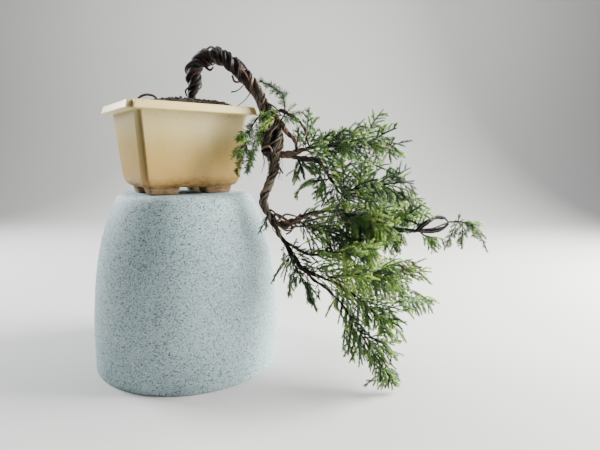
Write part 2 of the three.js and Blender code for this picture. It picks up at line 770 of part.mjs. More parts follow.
// The stand is hollow and open below; its wall follows the outside.
function standGeometry() {
  const ceiling = STAND_HEIGHT - STAND_WALL;
  const [topRadius] = STAND_PROFILE[STAND_PROFILE.length - 1];
  const inner = STAND_PROFILE.slice(0, STAND_INNER_ROWS).map(([r, z]) => [r - STAND_WALL, z]).reverse();
  const top = [[0, STAND_HEIGHT], [0, ceiling], [topRadius, ceiling]];
  const rows = [...STAND_PROFILE, ...top, ...inner, STAND_PROFILE[0]];
  const geometry = new THREE.LatheGeometry(rows.map(([r, z]) => new THREE.Vector2(r, z)), STAND_SIDES);
  geometry.rotateX(Math.PI / 2);
  return geometry;
}

// Meshes

function geometryOf(solid) {
  const mesh = solid.getMesh();
  const positions = new Float32Array((mesh.vertProperties.length / mesh.numProp) * 3);
  for (let i = 0; i < positions.length / 3; i++) {
    positions.set(mesh.vertProperties.subarray(i * mesh.numProp, i * mesh.numProp + 3), i * 3);
  }
  const geometry = new THREE.BufferGeometry();
  geometry.setAttribute('position', new THREE.BufferAttribute(positions, 3));
  geometry.setIndex(new THREE.BufferAttribute(new Uint32Array(mesh.triVerts), 1));
  return geometry;
}

function named(name, geometry, color, roughness) {
  const mesh = new THREE.Mesh(geometry, new THREE.MeshStandardMaterial({ color, roughness, metalness: 0 }));
  mesh.name = name;
  return mesh;
}

const model = new THREE.Group();

const standMesh = named('stand', standGeometry(), 0xb9c8c8, 0.85);
model.add(standMesh);

const potGroup = new THREE.Group();
potGroup.position.set(POT_CENTRE.x, POT_CENTRE.y, STAND_HEIGHT + GAP);
potGroup.rotation.z = POT_TURN;
potGroup.add(named('pot', geometryOf(potSolid()), 0xdcc693, 0.55));
potGroup.add(named('soil', geometryOf(soilSolid()), 0x221d19, 0.95));
model.add(potGroup);

for (const [name, solid] of Object.entries(limbSolids)) {
  model.add(named(name, geometryOf(solid), name.startsWith('bough_wired') ? 0x231a16 : 0x4d3a31, 0.85));
}

for (const [name, solid] of Object.entries(massSolids)) {
  model.add(named(name, geometryOf(solid), MASSES[name].colour, 0.7));
}

// The origin is the middle of the whole part's box, at the stand's underside

const box = new THREE.Box3().setFromObject(model);
model.position.set(-(box.min.x + box.max.x) / 2, -(box.min.y + box.max.y) / 2, 0);

const bonsai = new THREE.Group();
bonsai.add(model);

export default bonsai;
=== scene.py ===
# %% [markdown]
# # A cascade juniper bonsai
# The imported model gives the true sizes: a trunk that arches out of a pot and hangs beside the upturned
# planter it stands on. Here each plain solid is dressed: turned and moulded pieces, twisted bark, and
# foliage that grows by the same rule as the solids, carried on to finer twigs and needles.
# The frame is loaded first, because every piece is placed by it.

# %% Load the frame
import math
from collections import namedtuple

import bmesh
import bpy
import numpy as np
from mathutils import Matrix, Vector, noise


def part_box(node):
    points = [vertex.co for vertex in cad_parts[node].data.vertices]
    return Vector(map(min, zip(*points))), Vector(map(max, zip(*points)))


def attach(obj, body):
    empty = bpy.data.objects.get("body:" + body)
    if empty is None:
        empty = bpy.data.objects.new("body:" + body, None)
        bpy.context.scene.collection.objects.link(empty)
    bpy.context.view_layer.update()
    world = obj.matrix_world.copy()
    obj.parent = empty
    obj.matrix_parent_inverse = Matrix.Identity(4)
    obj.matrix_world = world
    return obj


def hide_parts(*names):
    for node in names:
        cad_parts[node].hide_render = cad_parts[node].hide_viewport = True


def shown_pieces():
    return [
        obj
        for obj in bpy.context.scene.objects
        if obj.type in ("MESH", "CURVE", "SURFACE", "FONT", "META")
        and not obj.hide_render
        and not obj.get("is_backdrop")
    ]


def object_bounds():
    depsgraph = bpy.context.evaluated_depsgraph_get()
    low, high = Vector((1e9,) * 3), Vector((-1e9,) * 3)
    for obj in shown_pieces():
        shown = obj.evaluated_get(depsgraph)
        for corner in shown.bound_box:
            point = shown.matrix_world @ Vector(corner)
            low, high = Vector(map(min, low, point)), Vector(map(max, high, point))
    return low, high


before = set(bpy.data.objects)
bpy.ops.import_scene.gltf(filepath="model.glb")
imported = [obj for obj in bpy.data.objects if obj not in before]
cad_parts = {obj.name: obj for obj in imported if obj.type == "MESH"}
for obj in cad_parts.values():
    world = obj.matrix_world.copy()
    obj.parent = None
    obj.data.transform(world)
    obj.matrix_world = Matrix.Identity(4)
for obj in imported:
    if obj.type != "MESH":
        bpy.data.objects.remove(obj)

cad_low, cad_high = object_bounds()
print("solids' box, mm:", [round(1000 * v) for v in cad_high - cad_low])

# %% [markdown]
# ## One set of measures
# The tree's own plan is drawn in millimetres round the stand's upright axis, the way a grower would
# measure it. One small helper takes such a point to the scene, which is in metres.

# %% Millimetres round the stand's axis
MM = 0.001
stand_low, stand_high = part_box("stand")
AXIS_X = (stand_low.x + stand_high.x) / 2


def here(x, y, z):
    return Vector((AXIS_X + x * MM, y * MM, z * MM))


def to_metres(points):
    """Rows of x, y, z in millimetres round the axis, as an array in metres."""
    rows = np.asarray(points, float) * MM
    rows[..., 0] += AXIS_X
    return rows


print("stand's axis at x =", round(AXIS_X, 4), "m")

# %% [markdown]
# ## The camera
# A phone was held level with the pot's rim and tipped down a little. The lens and the tilt are written
# as a focal length and an angle, so the picture's edges fall where they should in a 600 by 450 frame.

# %% Camera
LENS = 27.03
PITCH = math.radians(8.96)
ROLL = 0.007
CAMERA_PLACE = (143.3, -564.6, 259.2)

lens = bpy.data.cameras.new("phone")
lens.lens = LENS
lens.sensor_width = 36
lens.sensor_fit = "HORIZONTAL"
lens.clip_start = 0.02
camera = bpy.data.objects.new("phone", lens)
bpy.context.scene.collection.objects.link(camera)
ahead = Vector((0, math.cos(PITCH), -math.sin(PITCH)))
upward = Vector((0, math.sin(PITCH), math.cos(PITCH)))
right = math.cos(ROLL) * Vector((1, 0, 0)) + math.sin(ROLL) * upward
upward = -math.sin(ROLL) * Vector((1, 0, 0)) + math.cos(ROLL) * upward
turn = Matrix((right, upward, -ahead)).transposed().to_4x4()
camera.matrix_world = Matrix.Translation(here(*CAMERA_PLACE)) @ turn
bpy.context.scene.camera = camera
print("camera at", [round(v, 3) for v in camera.location])

# %% [markdown]
# ## The floor
# A pale floor that curves up far behind keeps the horizon out of the picture. It is one flat grid, bent
# up along its far side, and lies a hair below the stand's foot so that the two never share a plane.

# %% Floor
FLOOR_HALF_WIDTH, FLOOR_DEPTH, FLOOR_NEAR_EDGE = 4.0, 5.2, -2.2
BEND_START, BEND_RADIUS, BEND_LENGTH = 1.1, 0.9, 1.41
FLOOR_SINK = 0.0004

floor_mesh = bmesh.new()
bmesh.ops.create_grid(floor_mesh, x_segments=2, y_segments=60, size=1)
for vertex in floor_mesh.verts:
    back = (vertex.co.y + 1) * FLOOR_DEPTH / 2 + FLOOR_NEAR_EDGE
    rise = max(back - BEND_START, 0)
    bend = min(rise / BEND_RADIUS, math.pi / 2)
    level = BEND_RADIUS * (1 - math.cos(bend)) + max(rise - BEND_LENGTH, 0) - FLOOR_SINK
    depth = min(back, BEND_START) + BEND_RADIUS * math.sin(bend)
    vertex.co = Vector((vertex.co.x * FLOOR_HALF_WIDTH, depth, level))
floor_data = bpy.data.meshes.new("floor")
floor_mesh.to_mesh(floor_data)
floor_mesh.free()
floor = bpy.data.objects.new("floor", floor_data)
bpy.context.scene.collection.objects.link(floor)
for polygon in floor_data.polygons:
    polygon.use_smooth = True
paper = bpy.data.materials.new("pale_paper")
paper.use_nodes = True
paper.node_tree.nodes["Principled BSDF"].inputs["Base Color"].default_value = (0.56, 0.56, 0.55, 1)
paper.node_tree.nodes["Principled BSDF"].inputs["Roughness"].default_value = 0.9
floor_data.materials.append(paper)
floor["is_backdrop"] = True
print("floor:", 2 * FLOOR_HALF_WIDTH, "m wide")

# %% [markdown]
# ## The light
# Four soft panels stand in for daylight in a pale room: a strong large one on the right, a weak one on
# the left, a faint one overhead, and one behind that only lights the floor where it rises. The world
# behind them fills the shadows a little, and is cool against the warm strong panel.

# %% Light panels


def panel(name, place, aim, width, height, power, tint=(1, 1, 1)):
    data = bpy.data.lights.new(name, "AREA")
    data.shape = "RECTANGLE"
    data.size, data.size_y = width, height
    data.energy = power
    data.color = tint
    lamp = bpy.data.objects.new(name, data)
    lamp.location = place
    lamp.rotation_euler = (Vector(aim) - Vector(place)).to_track_quat("-Z", "Y").to_euler()
    bpy.context.scene.collection.objects.link(lamp)


panel("panel_right", (1.15, 0.16, 0.66), (0.0, 0, 0.2), 0.7, 1.1, 118, (1.0, 0.99, 0.96))
panel("panel_left", (-1.1, 0.42, 0.80), (-0.15, 0, 0.27), 0.5, 0.7, 34, (0.97, 0.99, 1.0))
panel("panel_top", (0.1, -0.15, 1.45), (0, 0, 0.2), 1.2, 1.0, 4)
panel("panel_back", (0.1, 1.1, 1.2), (0.1, 1.7, 0.5), 2.4, 0.8, 13)
world = bpy.data.worlds.new("tent")
world.use_nodes = True
world.node_tree.nodes["Background"].inputs["Color"].default_value = (0.93, 0.95, 1.0, 1)
world.node_tree.nodes["Background"].inputs["Strength"].default_value = 0.155
bpy.context.scene.world = world
print("light panels:", len(bpy.data.lights))

# %% [markdown]
# ## Finishes as node graphs
# Each finish is a short chain of nodes. A helper adds nodes and joins them, so that a material reads as
# a list of steps. Scattered specks are used by more than one finish, so they are a group: a mask that is
# built once and placed in each finish with its own size and share.

# %% Helpers for node graphs


def add(tree, kind, inputs=None, **settings):
    """A node; its inputs by socket, each a plain value or another node's socket, and its settings."""
    node = tree.nodes.new(kind)
    for key, value in settings.items():
        setattr(node, key, value)
    for key, value in (inputs or {}).items():
        target = node.inputs[key]
        if hasattr(value, "is_output"):
            tree.links.new(value, target)
        else:
            target.default_value = value
    return node


def new_finish(name, **values):
    """A material and its node tree, with plain values set on the shader's own sockets."""
    material = bpy.data.materials.new(name)
    material.use_nodes = True
    shader = material.node_tree.nodes["Principled BSDF"]
    for key, value in values.items():
        shader.inputs[key.replace("_", " ")].default_value = value
    return material, material.node_tree, shader


def mix_colour(tree, factor, first, second):
    node = add(tree, "ShaderNodeMix", data_type="RGBA")
    for socket, value in ((node.inputs[0], factor), (node.inputs[6], first), (node.inputs[7], second)):
        if hasattr(value, "is_output"):
            tree.links.new(value, socket)
        else:
            socket.default_value = value
    return node.outputs[2]


def own_place(tree):
    """Where a point lies on the object, in metres."""
    return add(tree, "ShaderNodeTexCoord").outputs["Object"]


def calc(tree, operation, first, second):
    return add(tree, "ShaderNodeMath", {0: first, 1: second}, operation=operation).outputs[0]


def cloudy(tree, place, scale, detail, roughness=0.5):
    """Soft noise: about scale lumps in a metre, with finer ones added by detail."""
    node = add(tree, "ShaderNodeTexNoise", {"Vector": place, "Scale": scale, "Detail": detail,
                                            "Roughness": roughness})
    return node.outputs["Fac"]


def span(tree, value, low, high, out_low=0.0, out_high=1.0):
    """A value stretched so that low becomes nought and high becomes one, or other ends."""
    node = add(tree, "ShaderNodeMapRange", {0: value, 1: low, 2: high, 3: out_low, 4: out_high})
    return node.outputs[0]


def bump(tree, shader, height, distance, strength):
    node = add(tree, "ShaderNodeBump", {"Height": height, "Distance": distance, "Strength": strength})
    tree.links.new(node.outputs["Normal"], shader.inputs["Normal"])


# %% A group for scattered specks
specks = bpy.data.node_groups.new("scattered_specks", "ShaderNodeTree")
for name, kind in (("Place", "Vector"), ("Scale", "Float"), ("Share", "Float")):
    specks.interface.new_socket(name=name, in_out="INPUT", socket_type="NodeSocket" + kind)
specks.interface.new_socket(name="Mask", in_out="OUTPUT", socket_type="NodeSocketFloat")
given, result = specks.nodes.new("NodeGroupInput"), specks.nodes.new("NodeGroupOutput")
place, scale = given.outputs["Place"], given.outputs["Scale"]
cells = add(specks, "ShaderNodeTexVoronoi", {"Vector": place, "Scale": scale})
chance = add(specks, "ShaderNodeSeparateColor", {"Color": cells.outputs["Color"]})
chosen = calc(specks, "LESS_THAN", chance.outputs[0], given.outputs["Share"])
core = span(specks, cells.outputs["Distance"], 0.62, 0.34)
specks.links.new(calc(specks, "MULTIPLY", chosen, core), result.inputs["Mask"])
print("group:", specks.name)

# %% Specks placed in a finish


def speckle(tree, scale, share):
    """The group's mask for a finish: specks of a size, on a share of the surface."""
    node = tree.nodes.new("ShaderNodeGroup")
    node.node_tree = specks
    tree.links.new(own_place(tree), node.inputs["Place"])
    node.inputs["Scale"].default_value, node.inputs["Share"].default_value = scale, share
    return node.outputs["Mask"]


# %% [markdown]
# ## Building helpers
# A finished piece is a mesh at the origin that rides on the part's one body and stands for its solid.
# Faces are smooth, and edges that turn by more than a set angle stay crisp.

# %% Helpers for pieces


def finish_piece(name, data, materials, nodes):
    piece = bpy.data.objects.new(name, data)
    bpy.context.scene.collection.objects.link(piece)
    for material in materials:
        data.materials.append(material)
    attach(piece, "root")
    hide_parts(*nodes)
    data.calc_loop_triangles()
    print(name + ":", len(data.loop_triangles), "triangles")
    return piece


def mesh_from(form, name, crisp_degrees=35):
    """Closes a bmesh into mesh data, smooth but for its crisp edges."""
    limit = math.radians(crisp_degrees)
    for face in form.faces:
        face.smooth = True
    for edge in form.edges:
        edge.smooth = len(edge.link_faces) != 2 or edge.calc_face_angle(0) < limit
    data = bpy.data.meshes.new(name)
    form.to_mesh(data)
    form.free()
    return data


# %% [markdown]
# ## The stand
# The stand is a round planter turned upside down: one wall of even thickness with a soft shoulder and a
# flat top. Such a shape is a profile spun round an axis, so a line of edges is drawn and spun.

# %% Stand
STAND_HEIGHT = 212
STAND_WALL = 5
STAND_TOP_RADIUS = 73
INNER_WALL_TOP = 200
STAND_PROFILE = [
    (114.5, 0), (114.5, 20), (114.5, 42), (113.8, 60), (112.5, 78), (111, 95), (109, 112), (106.6, 128),
    (103.5, 144), (100.2, 158), (96, 172), (91.8, 184), (87, 195), (84.2, 201.2), (81, 206.5), (79, 209),
    (76, 211), (STAND_TOP_RADIUS, STAND_HEIGHT), (0, STAND_HEIGHT),
]


def stand_form():
    ceiling = STAND_HEIGHT - STAND_WALL
    inner = [(r - STAND_WALL, z) for r, z in STAND_PROFILE if z < INNER_WALL_TOP]
    rows = STAND_PROFILE + [(0, ceiling), (STAND_TOP_RADIUS, ceiling)] + inner[::-1]
    form = bmesh.new()
    points = [form.verts.new(here(r, 0, z)) for r, z in rows]
    line = [form.edges.new(pair) for pair in zip(points, points[1:] + points[:1])
            if (pair[0].co - pair[1].co).length > 0 and not (pair[0].co.x == AXIS_X == pair[1].co.x)]
    bmesh.ops.spin(form, geom=points + line, cent=here(0, 0, 0), axis=(0, 0, 1), angle=math.tau,
                   steps=96, use_merge=True)
    bmesh.ops.remove_doubles(form, verts=form.verts, dist=1e-6)
    bmesh.ops.recalc_face_normals(form, faces=form.faces)
    lips = [e for e in form.edges if len(e.link_faces) == 2 and e.calc_face_angle(0) > math.radians(50)
            and e.verts[0].co.z < 0.001 and e.verts[1].co.z < 0.001]
    bmesh.ops.bevel(form, geom=lips, affect="EDGES", offset=0.0009, segments=3, profile=0.5, material=-1)
    return form


print("stand:", 2 * STAND_PROFILE[0][0], "mm wide,", STAND_HEIGHT, "mm high")

# %% [markdown]
# The planter's finish is a pale blue-grey resin full of fine dark and light flecks, like fine granite.
# The flecks are smaller than a pixel in most views, so three layers of specks are laid over each other,
# with a slow drift of tone below them.

# %% Stand finish


def speckled_resin():
    material, tree, shader = new_finish("speckled_resin", Roughness=0.62)
    drift = cloudy(tree, own_place(tree), 14.0, 3.0)
    colour = mix_colour(tree, span(tree, drift, 0.35, 0.65), (0.34, 0.46, 0.48, 1), (0.40, 0.54, 0.56, 1))
    fine, light, dark = (0.11, 0.17, 0.21, 1), (0.66, 0.78, 0.78, 1), (0.006, 0.012, 0.03, 1)
    for scale, share, tone in ((850.0, 0.35, fine), (820.0, 0.16, light), (700.0, 0.16, dark)):
        colour = mix_colour(tree, speckle(tree, scale, share), colour, tone)
    tree.links.new(colour, shader.inputs["Base Color"])
    grain = speckle(tree, 700.0, 0.5)
    bump(tree, shader, grain, 0.00008, 0.5)
    return material


finish_piece("speckled_stand", mesh_from(stand_form(), "speckled_stand"), [speckled_resin()],
             ["stand"])

# %% [markdown]
# ## The pot
# A moulded rectangular pot: flared sides, a broad rim that overhangs them, a notch down each corner, a
# foot edge that turns in, and a foot under each corner. One outline with notched corners is drawn at
# the foot and raised level by level, each time moved to the size that the pot has there. That keeps
# the notch running straight from foot to rim.

# %% Pot outlines
POT_TURN = math.radians(35.7)
POT_X, POT_Y, POT_BASE = -1, -11.5, 212.3
POT_LENGTH, POT_WIDTH, POT_HEIGHT = 150, 115, 101
NOTCH = 6


def pot_point(x, y, z):
    """From the pot's own length and width to the scene."""
    c, s = math.cos(POT_TURN), math.sin(POT_TURN)
    return here(POT_X + c * x - s * y, POT_Y + s * x + c * y, POT_BASE + z)


def softened(corners, radius, steps=3):
    """A closed outline whose corners are rounded by arcs of the given reach."""
    out = []
    for i, corner in enumerate(corners):
        before, after = corners[i - 1], corners[(i + 1) % len(corners)]
        a, b = (Vector(before) - Vector(corner)), (Vector(after) - Vector(corner))
        reach = min(radius, 0.45 * a.length, 0.45 * b.length)
        start, end = Vector(corner) + a.normalized() * reach, Vector(corner) + b.normalized() * reach
        for k in range(steps + 1):
            t = k / steps
            out.append(start * (1 - t) ** 2 + Vector(corner) * 2 * t * (1 - t) + end * t * t)
    return out


def notched_outline(inset, radius=1.6, notch=NOTCH):
    """A rectangle whose four corners are cut in by a small square notch."""
    x, y = POT_LENGTH / 2 - inset, POT_WIDTH / 2 - inset
    corners = []
    for sx, sy in ((1, 1), (-1, 1), (-1, -1), (1, -1)):
        trio = [(sx * x, sy * (y - notch)), (sx * (x - notch), sy * (y - notch)), (sx * (x - notch), sy * y)]
        corners += trio if sx * sy > 0 else trio[::-1]
    return softened(corners, radius)


# height above the feet, inset from the rim's edge
POT_LEVELS = [
    (8.3, 24.5), (8, 23), (8.6, 21.2), (10.5, 18.6), (13.6, 16.6), (17, 15.2), (20, 14.4), (40, 12.6),
    (66, 10.3), (91.6, 8.1), (92, 7.4), (92, -1.6), (92.3, -2.3), (93, -2.5), (99.6, -0.5), (100.6, 0.1),
    (POT_HEIGHT, 1.0), (POT_HEIGHT, 8.0), (100.6, 8.9), (99.6, 9.6), (92, 13), (60, 15.8), (20, 19.6),
    (13, 24),
]
print("pot outline:", len(notched_outline(0)), "points a level,", len(POT_LEVELS), "levels")

# %% Raising rings


def raise_ring(form, ring, places):
    """Extrudes a closed ring of points and moves the copy to new places, in the same order."""
    edges = [form.edges.get(pair) for pair in zip(ring, ring[1:] + ring[:1])]
    made = bmesh.ops.extrude_edge_only(form, edges=edges)["geom"]
    fresh = {item for item in made if isinstance(item, bmesh.types.BMVert)}
    upper = [next(e.other_vert(v) for e in v.link_edges if e.other_vert(v) in fresh) for v in ring]
    for vertex, place in zip(upper, places):
        vertex.co = place
    return upper


def first_ring(form, places):
    ring = [form.verts.new(place) for place in places]
    for pair in zip(ring, ring[1:] + ring[:1]):
        form.edges.new(pair)
    return ring


def close_ring(form, ring):
    edges = [form.edges.get(pair) for pair in zip(ring, ring[1:] + ring[:1])]
    bmesh.ops.contextual_create(form, geom=edges)


# %% [markdown]
# The rings make the wall, the rim and the inside in one closed skin. Each foot is a block whose top is
# larger than its sole, set under a corner and turned with the pot.

# %% Pot form
FOOT_PLACE, FOOT_TOP, FOOT_SOLE, FOOT_HEIGHT = (33, 21.5), (36, 24), (32, 20), 9.2
CORNERS = ((1, 1), (-1, 1), (-1, -1), (1, -1))


def pot_form():
    form = bmesh.new()
    levels = [[pot_point(p.x, p.y, z) for p in notched_outline(inset)] for z, inset in POT_LEVELS]
    ring = bottom = first_ring(form, levels[0])
    for places in levels[1:]:
        ring = raise_ring(form, ring, places)
    close_ring(form, bottom)
    close_ring(form, ring)
    bmesh.ops.recalc_face_normals(form, faces=form.faces)
    return form


def foot_form(form, sx, sy):
    """A corner foot: a low block that narrows downwards, its edges rounded."""
    made = bmesh.ops.create_cube(form, size=1)["verts"]
    for vertex in made:
        high = vertex.co.z > 0
        length, width = FOOT_TOP if high else FOOT_SOLE
        x, y = sx * FOOT_PLACE[0] + vertex.co.x * length, sy * FOOT_PLACE[1] + vertex.co.y * width
        vertex.co = pot_point(x, y, FOOT_HEIGHT if high else 0)
    edges = list({edge for vertex in made for edge in vertex.link_edges})
    bmesh.ops.bevel(form, geom=edges, affect="EDGES", offset=0.0022, segments=3, profile=0.5, material=-1)


pot_mesh = pot_form()
for sx, sy in CORNERS:
    foot_form(pot_mesh, sx, sy)
print("pot:", len(pot_mesh.faces), "faces")

# %% [markdown]
# The pot is cream above and ochre below, where damp has stained it. The change of colour is slow and
# uneven, the turned-in foot holds brown grime, the notches are darkened with painted shade, and faint
# blotches and small dark specks lie over all of it.

# %% Pot finish
# heights above the ground in metres: where a tone starts and where it is full
CREAM_TO_YELLOW, YELLOW_TO_OCHRE = (0.330, 0.290), (0.292, 0.252)
RIM_EDGE, FOOT_EDGE, RUST_BAND = (0.3035, 0.3045), (0.2212, 0.2200), (0.2390, 0.2290)
CREAM, YELLOW, OCHRE = (0.54, 0.46, 0.240, 1), (0.45, 0.32, 0.090, 1), (0.47, 0.275, 0.058, 1)
RIM_TONE, FOOT_TONE, BLOTCH_TONE = (0.70, 0.54, 0.21, 1), (0.44, 0.28, 0.14, 1), (0.56, 0.38, 0.16, 1)
# the last tone is painted shade for the corner notches; rust and specks are the pot's own
RUST_TONE, SPECK_TONE, NOTCH_SHADE_TONE = (0.16, 0.075, 0.022, 1), (0.20, 0.13, 0.06, 1), (0.17, 0.115, 0.045, 1)


def stained_cream():
    material, tree, shader = new_finish("stained_cream", Roughness=0.42)
    place = own_place(tree)
    height = add(tree, "ShaderNodeSeparateXYZ", {"Vector": place}).outputs["Z"]
    cloud = cloudy(tree, place, 20.0, 5.0)
    level = calc(tree, "ADD", height, calc(tree, "MULTIPLY", cloud, 0.05))
    colour = mix_colour(tree, span(tree, level, *CREAM_TO_YELLOW), CREAM, YELLOW)
    colour = mix_colour(tree, span(tree, level, *YELLOW_TO_OCHRE), colour, OCHRE)
    colour = mix_colour(tree, span(tree, height, *RIM_EDGE), colour, RIM_TONE)
    blotches = cloudy(tree, place, 70.0, 8.0)
    colour = mix_colour(tree, span(tree, blotches, 0.50, 0.75, 0.0, 0.30), colour, BLOTCH_TONE)
    colour = mix_colour(tree, span(tree, height, *FOOT_EDGE), colour, FOOT_TONE)
    flat = add(tree, "ShaderNodeMapping", {"Vector": place, "Scale": (1.0, 1.0, 3.0)}).outputs["Vector"]
    rust = span(tree, cloudy(tree, flat, 120.0, 9.0), 0.34, 0.64, 0.25, 0.95)
    low = calc(tree, "ADD", height, calc(tree, "MULTIPLY", cloud, 0.012))
    band = calc(tree, "MULTIPLY", span(tree, low, *RUST_BAND), rust)
    colour = mix_colour(tree, band, colour, RUST_TONE)
    colour = mix_colour(tree, speckle(tree, 760.0, 0.010), colour, SPECK_TONE)
    # painted shade: the corner notches are darkened by how deep a point lies in them
    notch_shade = add(tree, "ShaderNodeAttribute", attribute_name="notch_shade").outputs["Fac"]
    colour = mix_colour(tree, notch_shade, colour, NOTCH_SHADE_TONE)
    tree.links.new(colour, shader.inputs["Base Color"])
    tree.links.new(span(tree, band, 0.0, 1.0, 0.40, 0.85), shader.inputs["Roughness"])
    bump(tree, shader, blotches, 0.0003, 0.35)
    return material


def mark_notch_shade(form, strength=0.8):
    """Painted shade for the four corner notches: how deep a point lies there goes into an attribute."""
    layer = form.verts.layers.float.new("notch_shade")
    c, s = math.cos(POT_TURN), math.sin(POT_TURN)
    for vertex in form.verts:
        dx, dy = (vertex.co.x - here(POT_X, 0, 0).x) / MM, vertex.co.y / MM - POT_Y
        x, y = abs(c * dx + s * dy), abs(c * dy - s * dx)
        z = vertex.co.z / MM - POT_BASE
        inset = np.interp(z, [8, 20, 91.6, 92, POT_HEIGHT], [23, 14.4, 8.1, -2.3, 0])
        depth = min(POT_LENGTH / 2 - inset - x, POT_WIDTH / 2 - inset - y)
        outside = 9 < z < POT_HEIGHT and depth < 7.2
        vertex[layer] = strength * max(0.0, min(1.0, (depth - 1.0) / 4.5)) if outside else 0.0


mark_notch_shade(pot_mesh)
finish_piece("cream_pot", mesh_from(pot_mesh, "cream_pot", 28), [stained_cream()], ["pot"])

# %% [markdown]
# ## Curves for living wood
# Limbs and twigs follow smooth curves through a few measured points, as the solids do. Along a curve a
# normal is carried without spinning, so that a twist can be added on purpose.

# %% Curves and frames


def seeded(seed):
    """A small repeatable source of chance between 0 and 1."""
    state = seed

    def draw():
        nonlocal state
        state = state * 16807 % 2147483647
        return state / 2147483647

    return draw


def through(rows, steps):
    """A smooth curve through rows of numbers, with the same number of steps in each span."""
    rows = [np.array(row, float) for row in rows]
    out = []
    for i in range(len(rows) - 1):
        a, b, c, d = rows[max(i - 1, 0)], rows[i], rows[i + 1], rows[min(i + 2, len(rows) - 1)]
        for k in range(steps):
            t = k / steps
            out.append(0.5 * (2 * b + (c - a) * t + (2 * a - 5 * b + 4 * c - d) * t * t
                              + (3 * b - a - 3 * c + d) * t * t * t))
    out.append(rows[-1])
    return np.array(out)


def unit(v):
    return v / max(float(np.linalg.norm(v)), 1e-12)


def tangents(points):
    ends = np.vstack([points[:1], points, points[-1:]])
    steps = ends[2:] - ends[:-2]
    return steps / np.maximum(np.linalg.norm(steps, axis=1, keepdims=True), 1e-12)


def carried_normals(points, first):
    out = []
    normal = np.array(first, float)
    for tangent in tangents(points):
        normal = unit(normal - tangent * float(normal @ tangent))
        out.append(normal)
    return np.array(out)


def lengths_along(points):
    steps = np.linalg.norm(np.diff(points, axis=0), axis=1)
    return np.concatenate([[0], np.cumsum(steps)])


# %% [markdown]
# ## Trunk and boughs
# These rows are the limbs' own measures: x, y, z and radius. The trunk rises from the soil, arches over
# the rim and hangs down beside the pot. Boughs leave it at the knot and below.

# %% The limbs' measures
LIMBS = {
    "trunk": [
        (12, -8, 322.6, 9.8), (13, -8, 329, 8.3), (16, -8, 341, 8.6), (15, -8, 356, 9.0),
        (23, -8, 367, 9.0), (38, -8, 373, 9.8), (50, -9, 371, 9.2), (62, -10, 364, 8.8),
        (76, -12, 350, 8.2), (87, -14, 337, 7.4), (94, -15, 326, 7.0), (99, -17, 315, 7.2),
        (106, -19, 304, 8.2), (109, -22, 290, 11.0), (109, -24, 277, 14.0), (110, -25, 263, 11.0),
        (113, -27, 251, 6.4), (112, -30, 240, 5.4), (107.5, -33, 226, 5.0), (100, -36, 208, 5.2),
        (103.5, -39, 194, 4.6), (110, -41, 187, 5.2), (112, -43, 178, 4.2), (117, -45, 170, 3.6),
        (123, -48, 161, 3.3), (129, -50, 152, 3.3), (136, -53, 141, 3.3), (144, -56, 131, 3.2),
        (152, -59, 125, 2.9), (162, -61, 121.5, 2.7), (173, -64, 118.5, 2.5),
    ],
    "bough_upper": [(114, -25, 257, 4.8), (132, -22, 259, 4.2), (146, -18, 264, 3.3), (160, -14, 268, 2.6)],
    "bough_second": [
        (130, -22, 258, 3.0), (143, -25, 254, 3.4), (162, -30, 252, 3.1), (171, -34, 243, 2.8),
        (178, -38, 232, 2.6), (186, -41, 219, 2.4), (191, -42, 213, 2.2),
    ],
    "bough_slim_front": [
        (108, -20, 303, 2.2), (119, -24, 309, 2.3), (131, -27, 304, 2.3), (141, -27, 297, 2.2),
        (148, -24, 289, 2.1), (149, -21, 281, 1.9), (154, -17, 268, 1.8),
    ],
    "bough_slim_back": [
        (110, -23, 296, 2.8), (120, -27, 296, 2.8), (125, -28, 287, 2.9), (132, -28, 279, 2.9),
        (138, -26, 272, 2.6), (138, -21, 261, 2.3),
    ],
    "bough_middle": [
        (112, -42, 181, 3.4), (122, -45, 179, 3.6), (133, -46, 180, 3.6), (143, -42, 185, 3.2),
        (159, -36, 190, 2.9), (178, -30, 192, 2.5),
    ],
    "bough_wired": [
        (244, -26, 176, 2.2), (254, -26, 171, 2.8), (271, -26, 168, 3.0), (289, -26, 169, 2.4),
        (306, -24, 169, 2.1), (319, -20, 172, 1.9), (325, -18, 178, 1.7),
    ],
    "bough_wired_loop": [
        (286, -27, 169, 1.9), (292, -30, 175, 2.4), (301, -28, 182.5, 2.4), (311, -24, 185, 2.2),
        (320, -19, 182.5, 1.9), (325, -18, 178, 1.6),
    ],
    "bough_low_twig": [
        (123, -48, 160, 2.0), (139, -52, 151, 1.8), (155, -54, 144, 1.6), (177, -57, 146, 1.4),
    ],
    "bough_lowest": [(147, -57, 129, 2.0), (159, -63, 117, 1.9), (171, -68, 110, 1.8), (187, -75, 97, 1.6)],
}
limb_paths = {name: through(rows, 2) for name, rows in LIMBS.items()}
print("trunk length, mm:", round(lengths_along(limb_paths["trunk"][:, :3])[-1]))

# %% [markdown]
# The bark of this juniper is fibrous and twisted like old rope, so each limb is built as a rope: a dark
# thin core in near-black bark that shows only in the gaps between strands as painted shade, two to
# fifteen strands laid side by side round it, and a few thin fibres over them. Every strand is a flat
# grid rolled into a tube along its own curve. Its skin rises and falls with fine noise that follows the
# strand, and that direction and height are stored on the mesh for the finish to read.

# %% Rolled strands


def limb_line(rows, spacing):
    """Even steps along a limb's curve: points, radii, two cross directions and the run in millimetres."""
    smooth = through(rows, max(2, round(12 / spacing)))
    run = lengths_along(smooth[:, :3])
    count = max(4, round(run[-1] / spacing))
    marks = np.linspace(0, run[-1], count + 1)
    line = np.array([np.interp(marks, run, smooth[:, k]) for k in range(4)]).T
    points = line[:, :3]
    normals = carried_normals(points, (0.3, -0.9, 0.2))
    return points, line[:, 3], normals, np.cross(tangents(points), normals), marks


